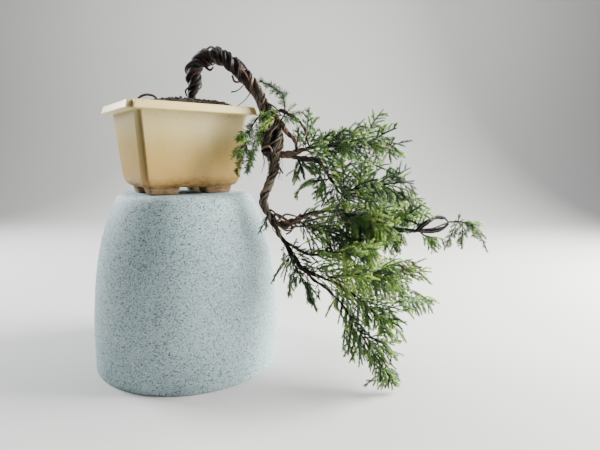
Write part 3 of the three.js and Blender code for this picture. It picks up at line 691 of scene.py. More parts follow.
def roll_strand(form, rows, sides, spacing, rough, seed, look, twist=40.0):
    """Rolls a grid round a curve of x, y, z and radius, in millimetres, and closes both ends."""
    points, radii, normals, sideways, marks = limb_line(rows, spacing)
    count = len(marks) - 1
    before = set(form.verts)
    bmesh.ops.create_grid(form, x_segments=sides, y_segments=count, size=1)
    grown = [vertex for vertex in form.verts if vertex not in before]
    grain = form.verts.layers.float_vector["grain"]
    relief = form.verts.layers.float["relief"]
    for vertex in grown:
        i = min(count, max(0, round((vertex.co.y + 1) / 2 * count)))
        j = round((vertex.co.x + 1) / 2 * sides) % sides
        angle = math.tau * j / sides
        fibre = angle - math.tau * marks[i] / twist
        gx, gy, gz = math.cos(fibre), math.sin(fibre), marks[i]
        ridge = 1 - 2 * abs(noise.noise(Vector((gx * 2.2, gy * 2.2, gz / 16 + seed))))
        lump = noise.noise(Vector((gx * 0.9, gy * 0.9, gz / 11 + seed + 90)))
        height = rough * (0.7 * (ridge - 0.5) + 0.8 * lump)
        offset = radii[i] * (1 + height) * (math.cos(angle) * normals[i] + math.sin(angle) * sideways[i])
        vertex.co = here(*(points[i] + offset))
        vertex[grain] = Vector((gx + seed % 7, gy, gz * MM * 10))
        vertex[relief] = max(0.0, min(1.0, 0.5 + height * 1.6))
    bmesh.ops.remove_doubles(form, verts=grown, dist=1e-7)
    alive = [vertex for vertex in grown if vertex.is_valid]
    rims = [edge for edge in {edge for vertex in alive for edge in vertex.link_edges} if edge.is_boundary]
    bmesh.ops.holes_fill(form, edges=rims, sides=0)
    for face in {face for vertex in alive for face in vertex.link_faces}:
        face.material_index = look


def new_bark():
    form = bmesh.new()
    form.verts.layers.float_vector.new("grain")
    form.verts.layers.float.new("relief")
    return form


def wind_strand(form, host, start, end, turn, pitch, thick, away, seed, look, sides=9):
    """A strand wound round a limb between two lengths of its run; both ends thin out and dive in."""
    points, radii, normals, sideways, marks = host
    steps = max(6, round((end - start) / 2.4))
    rows = []
    for k in range(steps + 1):
        t = k / steps
        mark = start + (end - start) * t
        centre, normal, side = (np.array([np.interp(mark, marks, part[:, axis]) for axis in range(3)])
                                for part in (points, normals, sideways))
        radius = float(np.interp(mark, marks, radii))
        full = min(1.0, 0.12 + 5 * t, 0.12 + 5 * (1 - t))
        around = turn + math.tau * (mark - start) / pitch
        out = unit(math.cos(around) * normal + math.sin(around) * side)
        place = centre + out * radius * away * (0.5 + 0.5 * full)
        rows.append((*place, max(0.3, radius * thick * (0.4 + 0.6 * full))))
    roll_strand(form, rows, sides, max(0.9, min(2.0, radii.mean() * thick * 0.6)), 0.30, seed, look)


def lay_bundle(form, host, start, end, count, pitch, thick, away, seed, looks, sides):
    """Fat strands side by side round the limb: one rope."""
    for k in range(count):
        around = math.tau * k / count + 0.2 * math.sin(k * 2.4)
        wind_strand(form, host, start, end, around, pitch * (1 + 0.12 * math.sin(k * 2.7)),
                    thick * (1 + 0.10 * math.sin(k * 1.9 + seed)), away, seed + k,
                    looks[k % len(looks)], sides)


# %% [markdown]
# The bark's colour runs from near black in the grooves, where the darkening is painted shade, to a dry
# grey on the ridges that is partly peeled fibre and partly painted highlight, with reddish brown where
# the outer skin has peeled. Fibres show as streaks along the twist, so the noise is read in the stored
# grain direction, squeezed round the limb and stretched along it.

# %% Bark finish


def rope_bark(name, deep, body, ridge, peel, peel_share, shine=0.55):
    material, tree, shader = new_finish(name, Roughness=shine, Specular_IOR_Level=0.28)
    grain = add(tree, "ShaderNodeAttribute", attribute_name="grain").outputs["Vector"]
    relief = add(tree, "ShaderNodeAttribute", attribute_name="relief").outputs["Fac"]
    fine = add(tree, "ShaderNodeMapping", {"Vector": grain, "Scale": (3.2, 3.2, 1.7)}).outputs["Vector"]
    streaks, broad = cloudy(tree, fine, 2.4, 8.0, 0.62), cloudy(tree, grain, 1.3, 3.0)
    # darker where the relief is low, in the grooves: painted shade
    colour = mix_colour(tree, span(tree, relief, 0.18, 0.62), deep, body)
    # pale streaks on the high ridges: partly peeled fibre, partly painted highlight
    pale = calc(tree, "MULTIPLY", span(tree, relief, 0.48, 0.92), span(tree, streaks, 0.50, 0.70))
    colour = mix_colour(tree, pale, colour, ridge)
    worn = span(tree, broad, 0.64 - peel_share, 0.74 - peel_share, 0.0, 0.85)
    fibres = calc(tree, "MULTIPLY", worn, span(tree, streaks, 0.40, 0.56))
    colour = mix_colour(tree, fibres, colour, peel)
    tree.links.new(colour, shader.inputs["Base Color"])
    tree.links.new(span(tree, streaks, 0.3, 0.7, shine + 0.2, shine - 0.12), shader.inputs["Roughness"])
    bump(tree, shader, streaks, 0.0006, 0.8)
    return material


arch_bark = rope_bark("dark_rope_bark", (0.002, 0.002, 0.002, 1), (0.009, 0.007, 0.007, 1),
                      (0.36, 0.30, 0.28, 1), (0.085, 0.026, 0.018, 1), 0.07, 0.50)
brown_bark = rope_bark("brown_fibre_bark", (0.004, 0.003, 0.002, 1), (0.042, 0.029, 0.022, 1),
                       (0.27, 0.22, 0.175, 1), (0.11, 0.058, 0.034, 1), 0.08, 0.6)
warm_bark = rope_bark("warm_peeling_bark", (0.006, 0.004, 0.003, 1), (0.110, 0.066, 0.042, 1),
                      (0.44, 0.33, 0.23, 1), (0.25, 0.11, 0.055, 1), 0.14, 0.6)
black_bark = rope_bark("near_black_bark", (0.002, 0.0015, 0.0015, 1), (0.007, 0.005, 0.004, 1),
                       (0.030, 0.023, 0.020, 1), (0.02, 0.011, 0.007, 1), 0.06, 0.6)
rust_bark = rope_bark("rusty_strand", (0.015, 0.006, 0.004, 1), (0.10, 0.036, 0.022, 1),
                      (0.34, 0.19, 0.12, 1), (0.24, 0.075, 0.03, 1), 0.16, 0.5)
tan_bark = rope_bark("bare_tan_wood", (0.03, 0.02, 0.014, 1), (0.17, 0.125, 0.09, 1),
                     (0.66, 0.58, 0.42, 1), (0.30, 0.21, 0.12, 1), 0.10, 0.6)
grey_bark = rope_bark("grey_brown_fibre", (0.012, 0.009, 0.006, 1), (0.145, 0.118, 0.082, 1),
                      (0.58, 0.51, 0.39, 1), (0.24, 0.16, 0.10, 1), 0.14, 0.6)
BARKS = [arch_bark, brown_bark, warm_bark, black_bark, rust_bark, tan_bark, grey_bark]
ARCH, BROWN, WARM, BLACK, RUST, TAN, GREY = range(7)
print("barks:", ", ".join(bark.name for bark in BARKS))

# %% [markdown]
# The trunk is five ropes that follow on: four fat dark strands over the arch, four grey-brown ones down
# from it, fifteen thin ones that spread round the knot, three below it, and two in the lean last part.
# Thin fibres wrap all of them. Ropes and fibres are placed by the trunk's rows, counted from nought: the
# arch is over at row 9, the knot is widest at row 14, and the lean last part starts near row 24.

# %% Trunk
trunk_line = limb_line(LIMBS["trunk"], 1.5)
trunk_smooth = through(LIMBS["trunk"], 8)
trunk_marks = lengths_along(trunk_smooth[:, :3])[::8]


def run_at(row):
    """The run in millimetres at a row of the trunk's measures; half rows are allowed."""
    return float(np.interp(row, range(len(trunk_marks)), trunk_marks))


print("runs at the knot, mm:", round(run_at(12)), "to", round(run_at(16)))

# %% The trunk's ropes and fibres
# first row, last row, strands, a turn in mm, thickness and distance out (shares of the radius), barks, sides
ROPES = [
    (0, 8.6, 4, 46, 0.43, 0.58, (ARCH,), 12),
    (7.7, 13, 4, 48, 0.43, 0.56, (GREY, BROWN, GREY, ARCH), 12),
    (11.3, 16.6, 15, 190, 0.18, 0.80, (GREY, WARM, BROWN, GREY, BLACK), 8),
    (15.6, 24.2, 3, 34, 0.50, 0.50, (GREY, BROWN, GREY), 9),
    (23.5, 30, 2, 30, 0.55, 0.42, (BLACK,), 8),
]
# first row, last row, how many, how long, a turn in mm, thickness, distance out, barks
FIBRES = [
    (0.2, 8.0, 22, 34, 38, 0.115, 1.0, (ARCH, GREY, ARCH, ARCH, RUST, ARCH)),
    (6.6, 12.5, 16, 32, 42, 0.12, 1.0, (ARCH, GREY, TAN, RUST, BROWN)),
    (10.0, 16.5, 40, 30, 120, 0.065, 0.99, (TAN, GREY, TAN, BROWN, BLACK)),
    (12.2, 15.8, 16, 22, 58, 0.075, 1.03, (TAN, BLACK, GREY, BLACK)),
    (15.5, 24.0, 16, 28, 36, 0.14, 0.95, (TAN, BROWN, GREY, BLACK)),
    (23.5, 30.0, 6, 26, 30, 0.20, 0.90, (BLACK, BROWN)),
]


def trunk_form():
    form = new_bark()
    # the near-black core shows only in the gaps between strands: painted shade
    core = [(x, y, z, r * 0.55) for x, y, z, r in LIMBS["trunk"]]
    roll_strand(form, core, 14, 2.4, 0.15, 3, BLACK)
    for number, (first, last, count, pitch, thick, away, looks, sides) in enumerate(ROPES):
        lay_bundle(form, trunk_line, run_at(first), run_at(last), count, pitch, thick, away, 10 + 17 * number,
                   looks, sides)
    draw = seeded(2027)
    for first, last, count, length, pitch, thick, away, looks in FIBRES:
        low, high = run_at(first), run_at(last)
        for k in range(count):
            start = low + (high - low) * (k + draw()) / (count + 1)
            end = min(high + 6, trunk_marks[-1] - 1, start + length * (0.7 + 0.6 * draw()))
            if end - start > 6:
                wind_strand(form, trunk_line, start, end, math.tau * draw(), pitch * (0.85 + 0.3 * draw()),
                            thick * (0.75 + 0.5 * draw()), away, 200 + 9 * k + count,
                            looks[k % len(looks)], 6)
    return form


# %% [markdown]
# Loose pieces give the trunk its age: a snapped stub on the arch, a thin root that leaves it and rejoins
# it, red-brown loops under the arch, the rim of the hollow in the knot, and dry hanging rootlets. Others
# make the gnarled fork below the knot and the dark stems of the twisted loop at the far right. Each is a
# short curve of its own with a radius at both ends.

# %% Loose strands of the trunk
# bark, radius at the first and the last end, places
LOOSE_STRANDS = [
    (ARCH, 1.7, 1.0, [(31, -15, 360), (35, -18, 356), (38, -18, 355), (41, -17, 359)]),
    (ARCH, 1.5, 1.2, [(57, -12, 370), (68, -12, 368), (76, -13, 362), (81, -14, 354), (87, -16, 345)]),
    (ARCH, 0.9, 0.5, [(62, -22, 330), (68, -22, 331), (73, -20, 335), (78, -18, 341)]),
    (ARCH, 0.8, 0.4, [(86, -18, 337), (83, -20, 328), (77, -22, 320), (68, -24, 313)]),
    (RUST, 1.3, 0.9, [(63, -18, 349), (66, -20, 342), (72, -20, 342), (76, -18, 346)]),
    (RUST, 1.0, 0.8, [(72, -18, 358), (79, -20, 350), (84, -21, 341), (88, -21, 333)]),
    (BROWN, 1.5, 1.1, [(-34, -62, 316), (-30, -60, 320), (-24, -58, 322), (-18, -56, 321), (-14, -54, 317)]),
    (TAN, 1.3, 1.0, [(98, -30, 262), (101, -35, 267), (105, -37, 268), (109, -38, 266), (111, -37.5, 261)]),
    (BROWN, 1.1, 0.9, [(98, -30, 262), (101, -35, 258), (105, -37.5, 257), (110, -38, 260)]),
    (BLACK, 2.4, 2.0, [(99, -31, 262), (104, -35.5, 263), (109, -37, 262)]),
    (WARM, 1.6, 1.2, [(95, -29, 297), (101, -31, 304), (108, -31, 307), (115, -30, 304), (119, -28, 297)]),
    (WARM, 1.7, 0.8, [(115, -30, 254), (118, -31, 245), (123, -31, 236)]),
    (TAN, 0.6, 0.35, [(99, -36, 261), (101, -36, 250), (98, -35, 237)]),
    (BROWN, 0.6, 0.3, [(105, -37, 254), (107, -37, 242), (106, -36, 230)]),
    (BROWN, 1.1, 0.7, [(108, -42, 195), (113, -43, 192), (114, -44, 186), (111, -45, 184)]),
    (WARM, 1.0, 0.5, [(117, -46, 188), (124, -48, 181), (131, -49, 178)]),
    (TAN, 1.2, 0.7, [(128, -48, 182), (134, -48, 185), (140, -47, 181)]),
    (RUST, 1.2, 0.8, [(99, -20, 318), (106, -21, 317), (114, -22, 312), (120, -22, 304)]),
    (WARM, 1.0, 0.6, [(112, -42, 182), (120, -50, 176), (130, -51, 174), (141, -49, 178)]),
    (BLACK, 1.0, 0.6, [(193, -52, 212), (200, -52, 215), (208, -52, 215), (218, -51, 212), (228, -50, 209)]),
    (BLACK, 0.8, 0.6, [(193, -52, 211), (201, -53, 207), (212, -53, 204), (221, -52, 206), (228, -50, 209)]),
    (BLACK, 1.7, 1.3, [(269, -29, 171), (288, -30, 168), (303, -28, 167), (316, -24, 169.5),
                       (325, -19, 176)]),
    (BROWN, 1.1, 0.9, [(290, -28, 170), (304, -27, 171.5), (315, -24, 175), (326, -19, 178)]),
    (WARM, 1.9, 1.0, [(114, -44, 190), (124, -48, 186), (133, -51, 178), (133, -51, 171), (127, -50, 167)]),
    (TAN, 1.3, 0.9, [(118, -46, 178), (127, -52, 172), (135, -53, 174), (140, -50, 182)]),
    (WARM, 1.7, 1.1, [(113, -45, 186), (120, -49, 177), (129, -51, 176), (139, -50, 185), (144, -47, 191)]),
    (TAN, 1.3, 0.9, [(117, -47, 182), (126, -50, 190), (136, -51, 189), (147, -50, 185)]),
    (BLACK, 2.0, 1.1, [(284, -30, 170), (290, -32, 177), (300, -31, 183.5), (311, -27, 186),
                       (320, -22, 183.5)]),
    (BLACK, 1.7, 1.2, [(285, -28, 169), (292, -28, 175), (300, -26, 181), (309, -23, 183.5),
                       (318, -19, 182)]),
    (BLACK, 2.2, 1.8, [(243, -27, 174), (252, -28, 170), (264, -28, 168.5), (276, -28, 168.5),
                       (288, -28, 170)]),
    (TAN, 1.2, 0.7, [(124, -47, 180), (139, -48, 182), (155, -44, 190), (176, -40, 196), (196, -38, 199)]),
    (WARM, 1.3, 0.8, [(132, -48, 178), (150, -48, 182), (171, -46, 187), (192, -44, 189)]),
    (TAN, 1.1, 0.6, [(134, -50, 176), (155, -50, 177), (178, -48, 182), (204, -46, 181)]),
    (BROWN, 1.2, 0.7, [(143, -44, 184), (161, -40, 193), (183, -40, 192), (202, -38, 194)]),
    (BLACK, 0.8, 0.4, [(152, -62, 112), (155, -65, 97), (159, -67, 89), (162, -68, 81)]),
]


def loose_strand(form, look, first, last, places, seed):
    radii = np.linspace(first, last, len(places))
    rows = [(*place, radius) for place, radius in zip(places, radii)]
    roll_strand(form, rows, 7, 1.3, 0.34, seed, look)


# the trunk's row where the rootlets start, and how many rows they cover
ROOTLET_ROWS = (13.6, 3.6)


def dry_rootlets(form, count, seed):
    """Fine dry hairs that hang from the knot's front and sides."""
    draw = seeded(seed)
    points, radii, normals, sideways, marks = trunk_line
    for k in range(count):
        i = int(np.searchsorted(marks, run_at(ROOTLET_ROWS[0] + ROOTLET_ROWS[1] * draw())))
        around = math.tau * draw()
        out = math.cos(around) * normals[i] + math.sin(around) * sideways[i]
        start = points[i] + out * radii[i] * 0.9
        drop = 6 + 14 * draw()
        sway = np.array([draw() - 0.5, draw() - 0.5, 0]) * 7
        places = [start, start + out * 2.2 + (0, 0, -0.3 * drop), start + out * 2.6 + sway + (0, 0, -drop)]
        loose_strand(form, (TAN, GREY, BROWN)[k % 3], 0.5, 0.22, places, seed + k)


# %% Joining the trunk
trunk_mesh = trunk_form()
dry_rootlets(trunk_mesh, 26, 611)
for number, (look, first, last, places) in enumerate(LOOSE_STRANDS):
    loose_strand(trunk_mesh, look, first, last, places, 400 + number)
bmesh.ops.recalc_face_normals(trunk_mesh, faces=trunk_mesh.faces)
finish_piece("twisted_trunk", mesh_from(trunk_mesh, "twisted_trunk", 70), BARKS, ["trunk"])

# %% [markdown]
# Boughs are twisted in the same way from two or three strands. Each bough is its own piece, named for
# the solid it stands for.

# %% Boughs
# strands, a turn in mm, thickness, distance out, barks, fibres
BOUGH_LOOKS = {
    "bough_upper": (3, 30, 0.44, 0.48, (WARM, GREY, WARM), 5),
    "bough_second": (3, 26, 0.44, 0.48, (GREY, WARM, BROWN), 5),
    "bough_slim_front": (2, 22, 0.56, 0.44, (BROWN, WARM), 3),
    "bough_slim_back": (3, 20, 0.46, 0.52, (WARM, BROWN, RUST), 3),
    "bough_middle": (3, 26, 0.44, 0.48, (WARM, GREY, WARM), 5),
    "bough_wired": (2, 26, 0.6, 0.42, (BLACK,), 3),
    "bough_wired_loop": (2, 26, 0.6, 0.42, (BLACK,), 2),
    "bough_low_twig": (2, 24, 0.62, 0.40, (BROWN,), 0),
    "bough_lowest": (2, 24, 0.62, 0.40, (BROWN,), 0),
}


def bough_form(rows, strands, pitch, thick, away, looks, fibres, seed):
    form = new_bark()
    host = limb_line(rows, 1.2)
    end = host[4][-1]
    # a near-black core that shows only in the gaps between strands: painted shade
    roll_strand(form, [(x, y, z, r * 0.5) for x, y, z, r in rows], 8, 2.0, 0.1, seed, BLACK)
    lay_bundle(form, host, 0, end, strands, pitch, thick, away, seed, looks, 9)
    draw = seeded(seed + 7)
    for k in range(fibres):
        start = end * 0.6 * draw()
        wind_strand(form, host, start, min(end, start + 24 + 14 * draw()), math.tau * draw(), pitch * 1.2,
                    0.20, 0.93, seed + k + 3, looks[k % len(looks)], 6)
    bmesh.ops.recalc_face_normals(form, faces=form.faces)
    return form


for number, (name, look) in enumerate(BOUGH_LOOKS.items()):
    form = bough_form(LIMBS[name], *look, 100 + 11 * number)
    finish_piece("bark_of_" + name, mesh_from(form, name, 70), BARKS, [name])

# %% [markdown]
# ## Where foliage may grow
# Each mass of foliage is written as places in millimetres: a stem, a few long twigs that reach its tips
# (where on the stem, then the tip), a number of filling twigs and their length, and a rounded space of
# its own (its middle and half its size). A twig or shoot is kept only where it stays in that space,
# nearer to it than to any other, and clear of the limbs. This is the same rule as the solids follow.
#
# The rest is finer than the solids can be. Finer twigs run from a root to a tip. Open places, seen from
# the front, keep the sky between the sprays: middle, then half the width and height. The vigour says how
# far the shoots stretch, how far apart they stand, and how far past the space they may reach. Where a
# mass is thin, only some of its filling twigs are dressed: every so many, as its skip says.

# %% The upper tiers' measures
UPPER_TIERS = {
    "foliage_upper": {
        "seed": 11, "looks": "deep", "radii": (2.3, 0.9), "fill": (20, 46),
        "stem": [(160, -14, 268), (179, -11, 269), (197, -8, 270), (231, -5, 275), (254, -5, 271),
                 (271, -8, 256)],
        "reach": [(0.52, 245, 5, 314), (0.4, 218, -20, 300), (0.32, 212, 15, 299), (0.2, 195, -25, 289),
                  (0.1, 181, 10, 290), (0.02, 153, -8, 312), (0.66, 255, 20, 294), (0.8, 253, -27, 279),
                  (0.75, 253, -15, 250), (0.3, 206, 22, 262)],
        "vigour": (0.75, 1.05, 1.04),
        "finer": [((139, -20, 263), (141, -28, 288)), ((146, -18, 264), (156, -10, 293)),
                  ((153, -16, 266), (163, -30, 287)), ((160, -14, 268), (177, -4, 281)),
                  ((216, -6, 273), (227, -16, 251)), ((230, -6, 274), (241, -2, 248)),
                  ((146, -18, 263), (168, -30, 274)), ((143, -16, 270), (139, -14, 290)),
                  ((149, -18, 264), (153, -10, 312)), ((146, -16, 269), (172, -10, 280)),
                  ((152, -20, 262), (181, -22, 252)), ((164, -14, 268), (182, -16, 287)),
                  ((174, -12, 269), (196, -22, 289)), ((159, -16, 264), (204, -30, 256))],
        "open": [(202, 303, 23, 12), (268, 281, 16, 19), (178, 296, 18, 7)],
        "finer_reach": 0.55,
        "space": ((212, 4, 278), (66, 56, 37)),
    },
    "foliage_second": {
        "seed": 23, "looks": "deep", "radii": (2.0, 0.8), "fill": (13, 42), "freshest": (7, 1),
        "stem": [(191, -42, 213), (203, -46, 219), (225, -50, 225), (247, -52, 227), (273, -50, 230)],
        "reach": [(0.12, 196, -26, 203), (0.3, 222, -22, 214), (0.15, 188, -70, 222), (0.7, 270, -40, 244),
                  (0.6, 267, -64, 218), (0.1, 190, -50, 256), (0.35, 211, -66, 250), (0.08, 177, -85, 184),
                  (0.45, 276, -38, 208), (0.55, 290, -56, 199), (0.5, 256, -30, 238)],
        "vigour": (0.85, 1.3, 1.1),
        "finer": [((143, -24, 254), (172, -36, 264)), ((152, -27, 255), (182, -40, 248)),
                  ((170, -34, 243), (196, -48, 244)), ((178, -38, 232), (202, -30, 226)),
                  ((181, -40, 225), (169, -34, 199)), ((184, -40, 222), (180, -50, 197)),
                  ((173, -36, 239), (158, -44, 223)), ((166, -34, 244), (200, -38, 234)),
                  ((173, -36, 239), (196, -44, 218)), ((181, -40, 225), (203, -46, 207)),
                  ((177, -38, 232), (164, -42, 216)), ((208, -38, 253), (254, -46, 235)),
                  ((197, -40, 241), (225, -48, 246)), ((194, -42, 232), (220, -50, 235)),
                  ((189, -42, 223), (202, -52, 211))],
        "open": [(239, 237, 9, 7), (274, 230, 11, 17), (253, 222, 12, 6)],
        "space": ((214, -52, 224), (74, 46, 34)),
    },
}
print("upper tiers:", ", ".join(UPPER_TIERS))

# %% [markdown]
# The middle tiers hang from the bough that leaves the trunk below the knot. The densest foliage is here,
# with the twisted loop and the sparse tip beyond it.

# %% The middle tiers' measures
MIDDLE_TIERS = {
    "foliage_middle": {
        "seed": 37, "looks": "leafy", "radii": (2.1, 1.6), "fill": (15, 48),
        "stem": [(178, -30, 192), (197, -28, 193), (228, -26, 185), (243, -26, 177)],
        "reach": [(0.05, 171, -8, 158), (0.25, 190, 14, 160), (0.35, 206, -6, 146), (0.8, 244, -8, 145),
                  (0.75, 244, -48, 158), (0.88, 259, -32, 145), (0.8, 262, -16, 205), (0.7, 270, 10, 186),
                  (0.5, 222, 26, 178), (0.45, 228, -44, 200)],
        "finer": [((262, -26, 168), (276, -30, 200)), ((271, -26, 168), (292, -20, 193)),
                  ((254, -26, 170), (271, -40, 188)), ((277, -26, 168), (295, -32, 181)),
                  ((159, -36, 190), (152, -44, 170)), ((230, -26, 176), (214, -44, 155)),
                  ((258, -26, 174), (261, -30, 143)), ((249, -28, 174), (247, -34, 150)),
                  ((268, -26, 170), (264, -32, 154)), ((264, -26, 179), (290, -34, 202)),
                  ((269, -26, 175), (298, -32, 191)), ((197, -34, 177), (228, -48, 153)),
                  ((205, -34, 182), (232, -46, 160)), ((243, -26, 171), (229, -42, 152))],
        "open": [(149, 160, 15, 16)],
        "vigour": (1.05, 0.85, 1.34),
        "finer_reach": 0.65,
        "space": ((222, -10, 176), (58, 52, 34)),
    },
    "foliage_middle_under": {
        "seed": 29, "looks": "dusky", "radii": (1.7, 0.8), "fill": (7, 30),
        "stem": [(141, -44, 183), (150, -47, 177), (166, -48, 173), (188, -49, 167), (208, -48, 159),
                 (222, -46, 151)],
        "reach": [(0.3, 160, -50, 144), (0.42, 171, -40, 139), (0.5, 181, -56, 142), (0.7, 196, -40, 143),
                  (0.15, 148, -38, 160), (0.75, 206, -60, 146)],
        "vigour": (0.95, 0.74, 1.3),
        "open": [(150, 156, 14, 14), (173, 132, 11, 8), (163, 148, 7, 8)],
        "finer": [((140, -44, 181), (160, -50, 171)), ((143, -44, 177), (168, -52, 170)),
                  ((153, -46, 170), (169, -52, 142)), ((162, -46, 169), (178, -54, 145)),
                  ((174, -44, 168), (196, -52, 149)), ((147, -44, 175), (158, -52, 144)),
                  ((167, -42, 176), (204, -50, 163))],
        "space": ((184, -50, 158), (44, 26, 22)),
    },
    "foliage_second_left": {
        "seed": 31, "looks": "leafy", "radii": (1.3, 0.7), "fill": (1, 20),
        "stem": [(177, -39, 231), (168, -43, 229), (157, -46, 229), (146, -47, 224), (138, -49, 211)],
        "reach": [(0.1, 163, -32, 206), (0.35, 146, -60, 222), (0.2, 172, -56, 214)],
        "vigour": (0.6, 1.4, 1.1),
        "open": [(148, 229, 13, 17)],
        "space": ((158, -46, 218), (24, 22, 18)),
    },
    "foliage_tip": {
        "seed": 41, "looks": "sparse", "radii": (1.4, 0.8), "fill": (3, 26),
        "stem": [(325, -18, 178), (341, -16, 178), (353, -16, 174), (365, -18, 162), (375, -20, 141)],
        "reach": [(0.2, 337, -22, 187), (0.45, 367, -8, 177), (0.7, 373, -10, 160), (0.2, 320, -26, 146),
                  (0.3, 338, -34, 150)],
        "vigour": (0.5, 1.0, 1.0),
        "open": [(345, 188, 16, 7), (350, 154, 12, 10)],
        "space": ((345, -20, 163), (34, 24, 26)),
    },
    "foliage_wired_under": {
        "seed": 43, "looks": "leafy", "radii": (1.1, 0.8), "fill": (0, 20),
        "stem": [(289, -28, 166), (296, -31, 162), (303, -34, 156)],
        "reach": [(0.3, 305, -40, 145), (0.5, 318, -30, 158), (0.6, 316, -24, 148)],
        "vigour": (0.5, 1.1, 0.95),
        "space": ((304, -33, 154), (20, 16, 14)),
    },
}
print("middle tiers:", ", ".join(MIDDLE_TIERS))

# %% [markdown]
# The lower tiers grow on from the trunk's lean last part. They are the freshest, and the lowest hangs in
# thin whips in front of the stand's edge.

# %% The lower tiers' measures
LOWER_TIERS = {
    "foliage_low_upper": {
        "seed": 47, "looks": "leafy", "radii": (1.3, 0.8), "fill": (8, 30),
        "stem": [(177, -57, 146), (198, -60, 150), (214, -64, 151), (229, -74, 153)],
        "reach": [(0.1, 160, -44, 146), (0.4, 211, -84, 150), (0.35, 206, -70, 162), (0.5, 222, -44, 148)],
        "finer": [((139, -52, 151), (168, -60, 167)), ((155, -54, 145), (179, -66, 138)),
                  ((171, -56, 143), (198, -60, 137)), ((147, -53, 148), (164, -64, 137)),
                  ((203, -62, 152), (213, -70, 140))],
        "open": [(152, 158, 12, 9), (173, 132, 12, 10)],
        "vigour": (1.0, 0.66, 1.34),
        "space": ((206, -64, 149), (40, 32, 15)),
    },
    "foliage_low_left": {
        "seed": 53, "looks": "bare", "radii": (1.6, 0.9), "fill": (7, 30),
        "stem": [(127, -50, 153), (134, -54, 138), (143, -57, 122), (152, -63, 104), (156, -66, 90)],
        "reach": [(0.15, 111, -55, 111), (0.4, 131, -60, 96), (0.3, 137, -42, 104), (0.75, 163, -68, 81),
                  (0.55, 167, -66, 94), (0.2, 122, -72, 122)],
        "vigour": (0.42, 1.2, 1.0),
        "finer": [((132, -52, 142), (125, -60, 113)), ((125, -51, 155), (124, -58, 131)),
                  ((132, -54, 141), (111, -55, 111)), ((133, -56, 138), (131, -60, 95)),
                  ((147, -58, 127), (163, -68, 81)), ((152, -58, 124), (155, -66, 89)),
                  ((164, -64, 114), (166, -66, 95)), ((141, -57, 129), (138, -58, 104)),
                  ((126, -50, 160), (144, -50, 145)), ((132, -54, 147), (154, -56, 139)),
                  ((137, -55, 140), (156, -60, 136)), ((140, -56, 136), (160, -62, 130)),
                  ((133, -54, 145), (139, -54, 161)), ((133, -54, 145), (150, -50, 150)),
                  ((138, -55, 138), (152, -52, 146)), ((130, -52, 150), (143, -48, 152))],
        "open": [(123, 120, 6, 13), (146, 103, 4, 10)],
        "finer_reach": 0.55,
        "skip": 2,
        "space": ((141, -58, 112), (34, 28, 36)),
    },
    "foliage_low_right": {
        "seed": 61, "looks": "bright", "radii": (2.2, 0.8), "fill": (15, 40),
        "stem": [(175, -64, 119), (191, -64, 122), (216, -62, 123), (244, -60, 127), (272, -58, 127),
                 (296, -56, 125)],
        "reach": [(0.75, 290, -50, 139), (0.5, 267, -72, 143), (0.4, 247, -38, 137), (0.3, 228, -30, 122),
                  (0.3, 270, -60, 95), (0.42, 298, -64, 88), (0.35, 261, -92, 121), (0.15, 206, -30, 112)],
        "vigour": (0.86, 0.86, 1.08),
        "finer": [((156, -60, 123), (183, -72, 138)), ((167, -62, 121), (194, -74, 133)),
                  ((175, -64, 119), (201, -80, 121)), ((260, -60, 110), (297, -66, 90)),
                  ((248, -60, 116), (278, -72, 89)), ((213, -62, 119), (228, -58, 88)),
                  ((147, -58, 129), (174, -66, 129)), ((154, -60, 124), (183, -60, 125)),
                  ((242, -84, 96), (297, -66, 90)), ((250, -80, 103), (288, -64, 92))],
        "open": [(281, 108, 17, 11), (247, 147, 11, 7), (260, 70, 8, 12), (300, 118, 10, 6)],
        "space": ((240, -60, 116), (60, 40, 27)),
    },
    "foliage_low_centre": {
        "seed": 71, "looks": "whip", "radii": (1.8, 0.8), "fill": (13, 36),
        "stem": [(171, -63, 118), (190, -71, 112), (212, -78, 98), (233, -84, 80), (254, -88, 66),
                 (262, -90, 54)],
        "reach": [(0.7, 265, -74, 71), (0.45, 263, -86, 87), (0.4, 216, -58, 84), (0.6, 232, -104, 70)],
        "finer": [((178, -64, 118), (198, -70, 95)), ((190, -70, 114), (205, -72, 78)),
                  ((203, -74, 106), (218, -78, 67)), ((211, -78, 100), (238, -92, 98)),
                  ((220, -80, 91), (251, -90, 87)), ((195, -70, 110), (228, -66, 67)),
                  ((162, -62, 120), (178, -70, 107)), ((169, -64, 118), (192, -72, 109)),
                  ((176, -66, 115), (195, -72, 94)), ((184, -72, 98), (184, -74, 89))],
        "open": [(260, 70, 8, 12)],
        "space": ((234, -84, 80), (38, 32, 27)),
    },
    "foliage_lowest": {
        "seed": 83, "looks": "whip", "radii": (1.5, 0.7), "fill": (9, 30),
        "stem": [(187, -75, 97), (196, -80, 87), (210, -88, 65), (225, -95, 42), (240, -101, 22),
                 (249, -104, 9)],
        "reach": [(0.22, 192, -90, 46), (0.3, 197, -98, 43), (0.42, 209, -101, 30), (0.8, 231, -105, 14),
                  (0.85, 238, -107, 10), (0.8, 254, -98, 14), (0.55, 259, -92, 39), (0.45, 246, -96, 53),
                  (0.12, 187, -80, 71), (0.3, 206, -70, 50)],
        "vigour": (0.82, 0.95, 1.05),
        "finer_reach": 0.7,
        "finer": [((194, -82, 87), (212, -90, 64)), ((216, -94, 60), (250, -100, 37)),
                  ((230, -98, 41), (249, -104, 17)), ((184, -76, 100), (204, -70, 69)),
                  ((217, -92, 47), (229, -100, 22)), ((225, -95, 41), (236, -106, 11)),
                  ((237, -101, 26), (251, -104, 9)), ((206, -88, 62), (213, -98, 31))],
        "open": [(183, 59, 8, 28), (208, 22, 10, 18), (262, 66, 8, 9), (258, 34, 7, 9)],
        "space": ((217, -95, 44), (46, 26, 44)),
    },
}
print("lower tiers:", ", ".join(LOWER_TIERS))

# %% [markdown]
# Four small tufts are left: a ferny one at the knot, a frond that hangs in front of the pot's corner, one
# below the knot and a few leaves beside the stand.

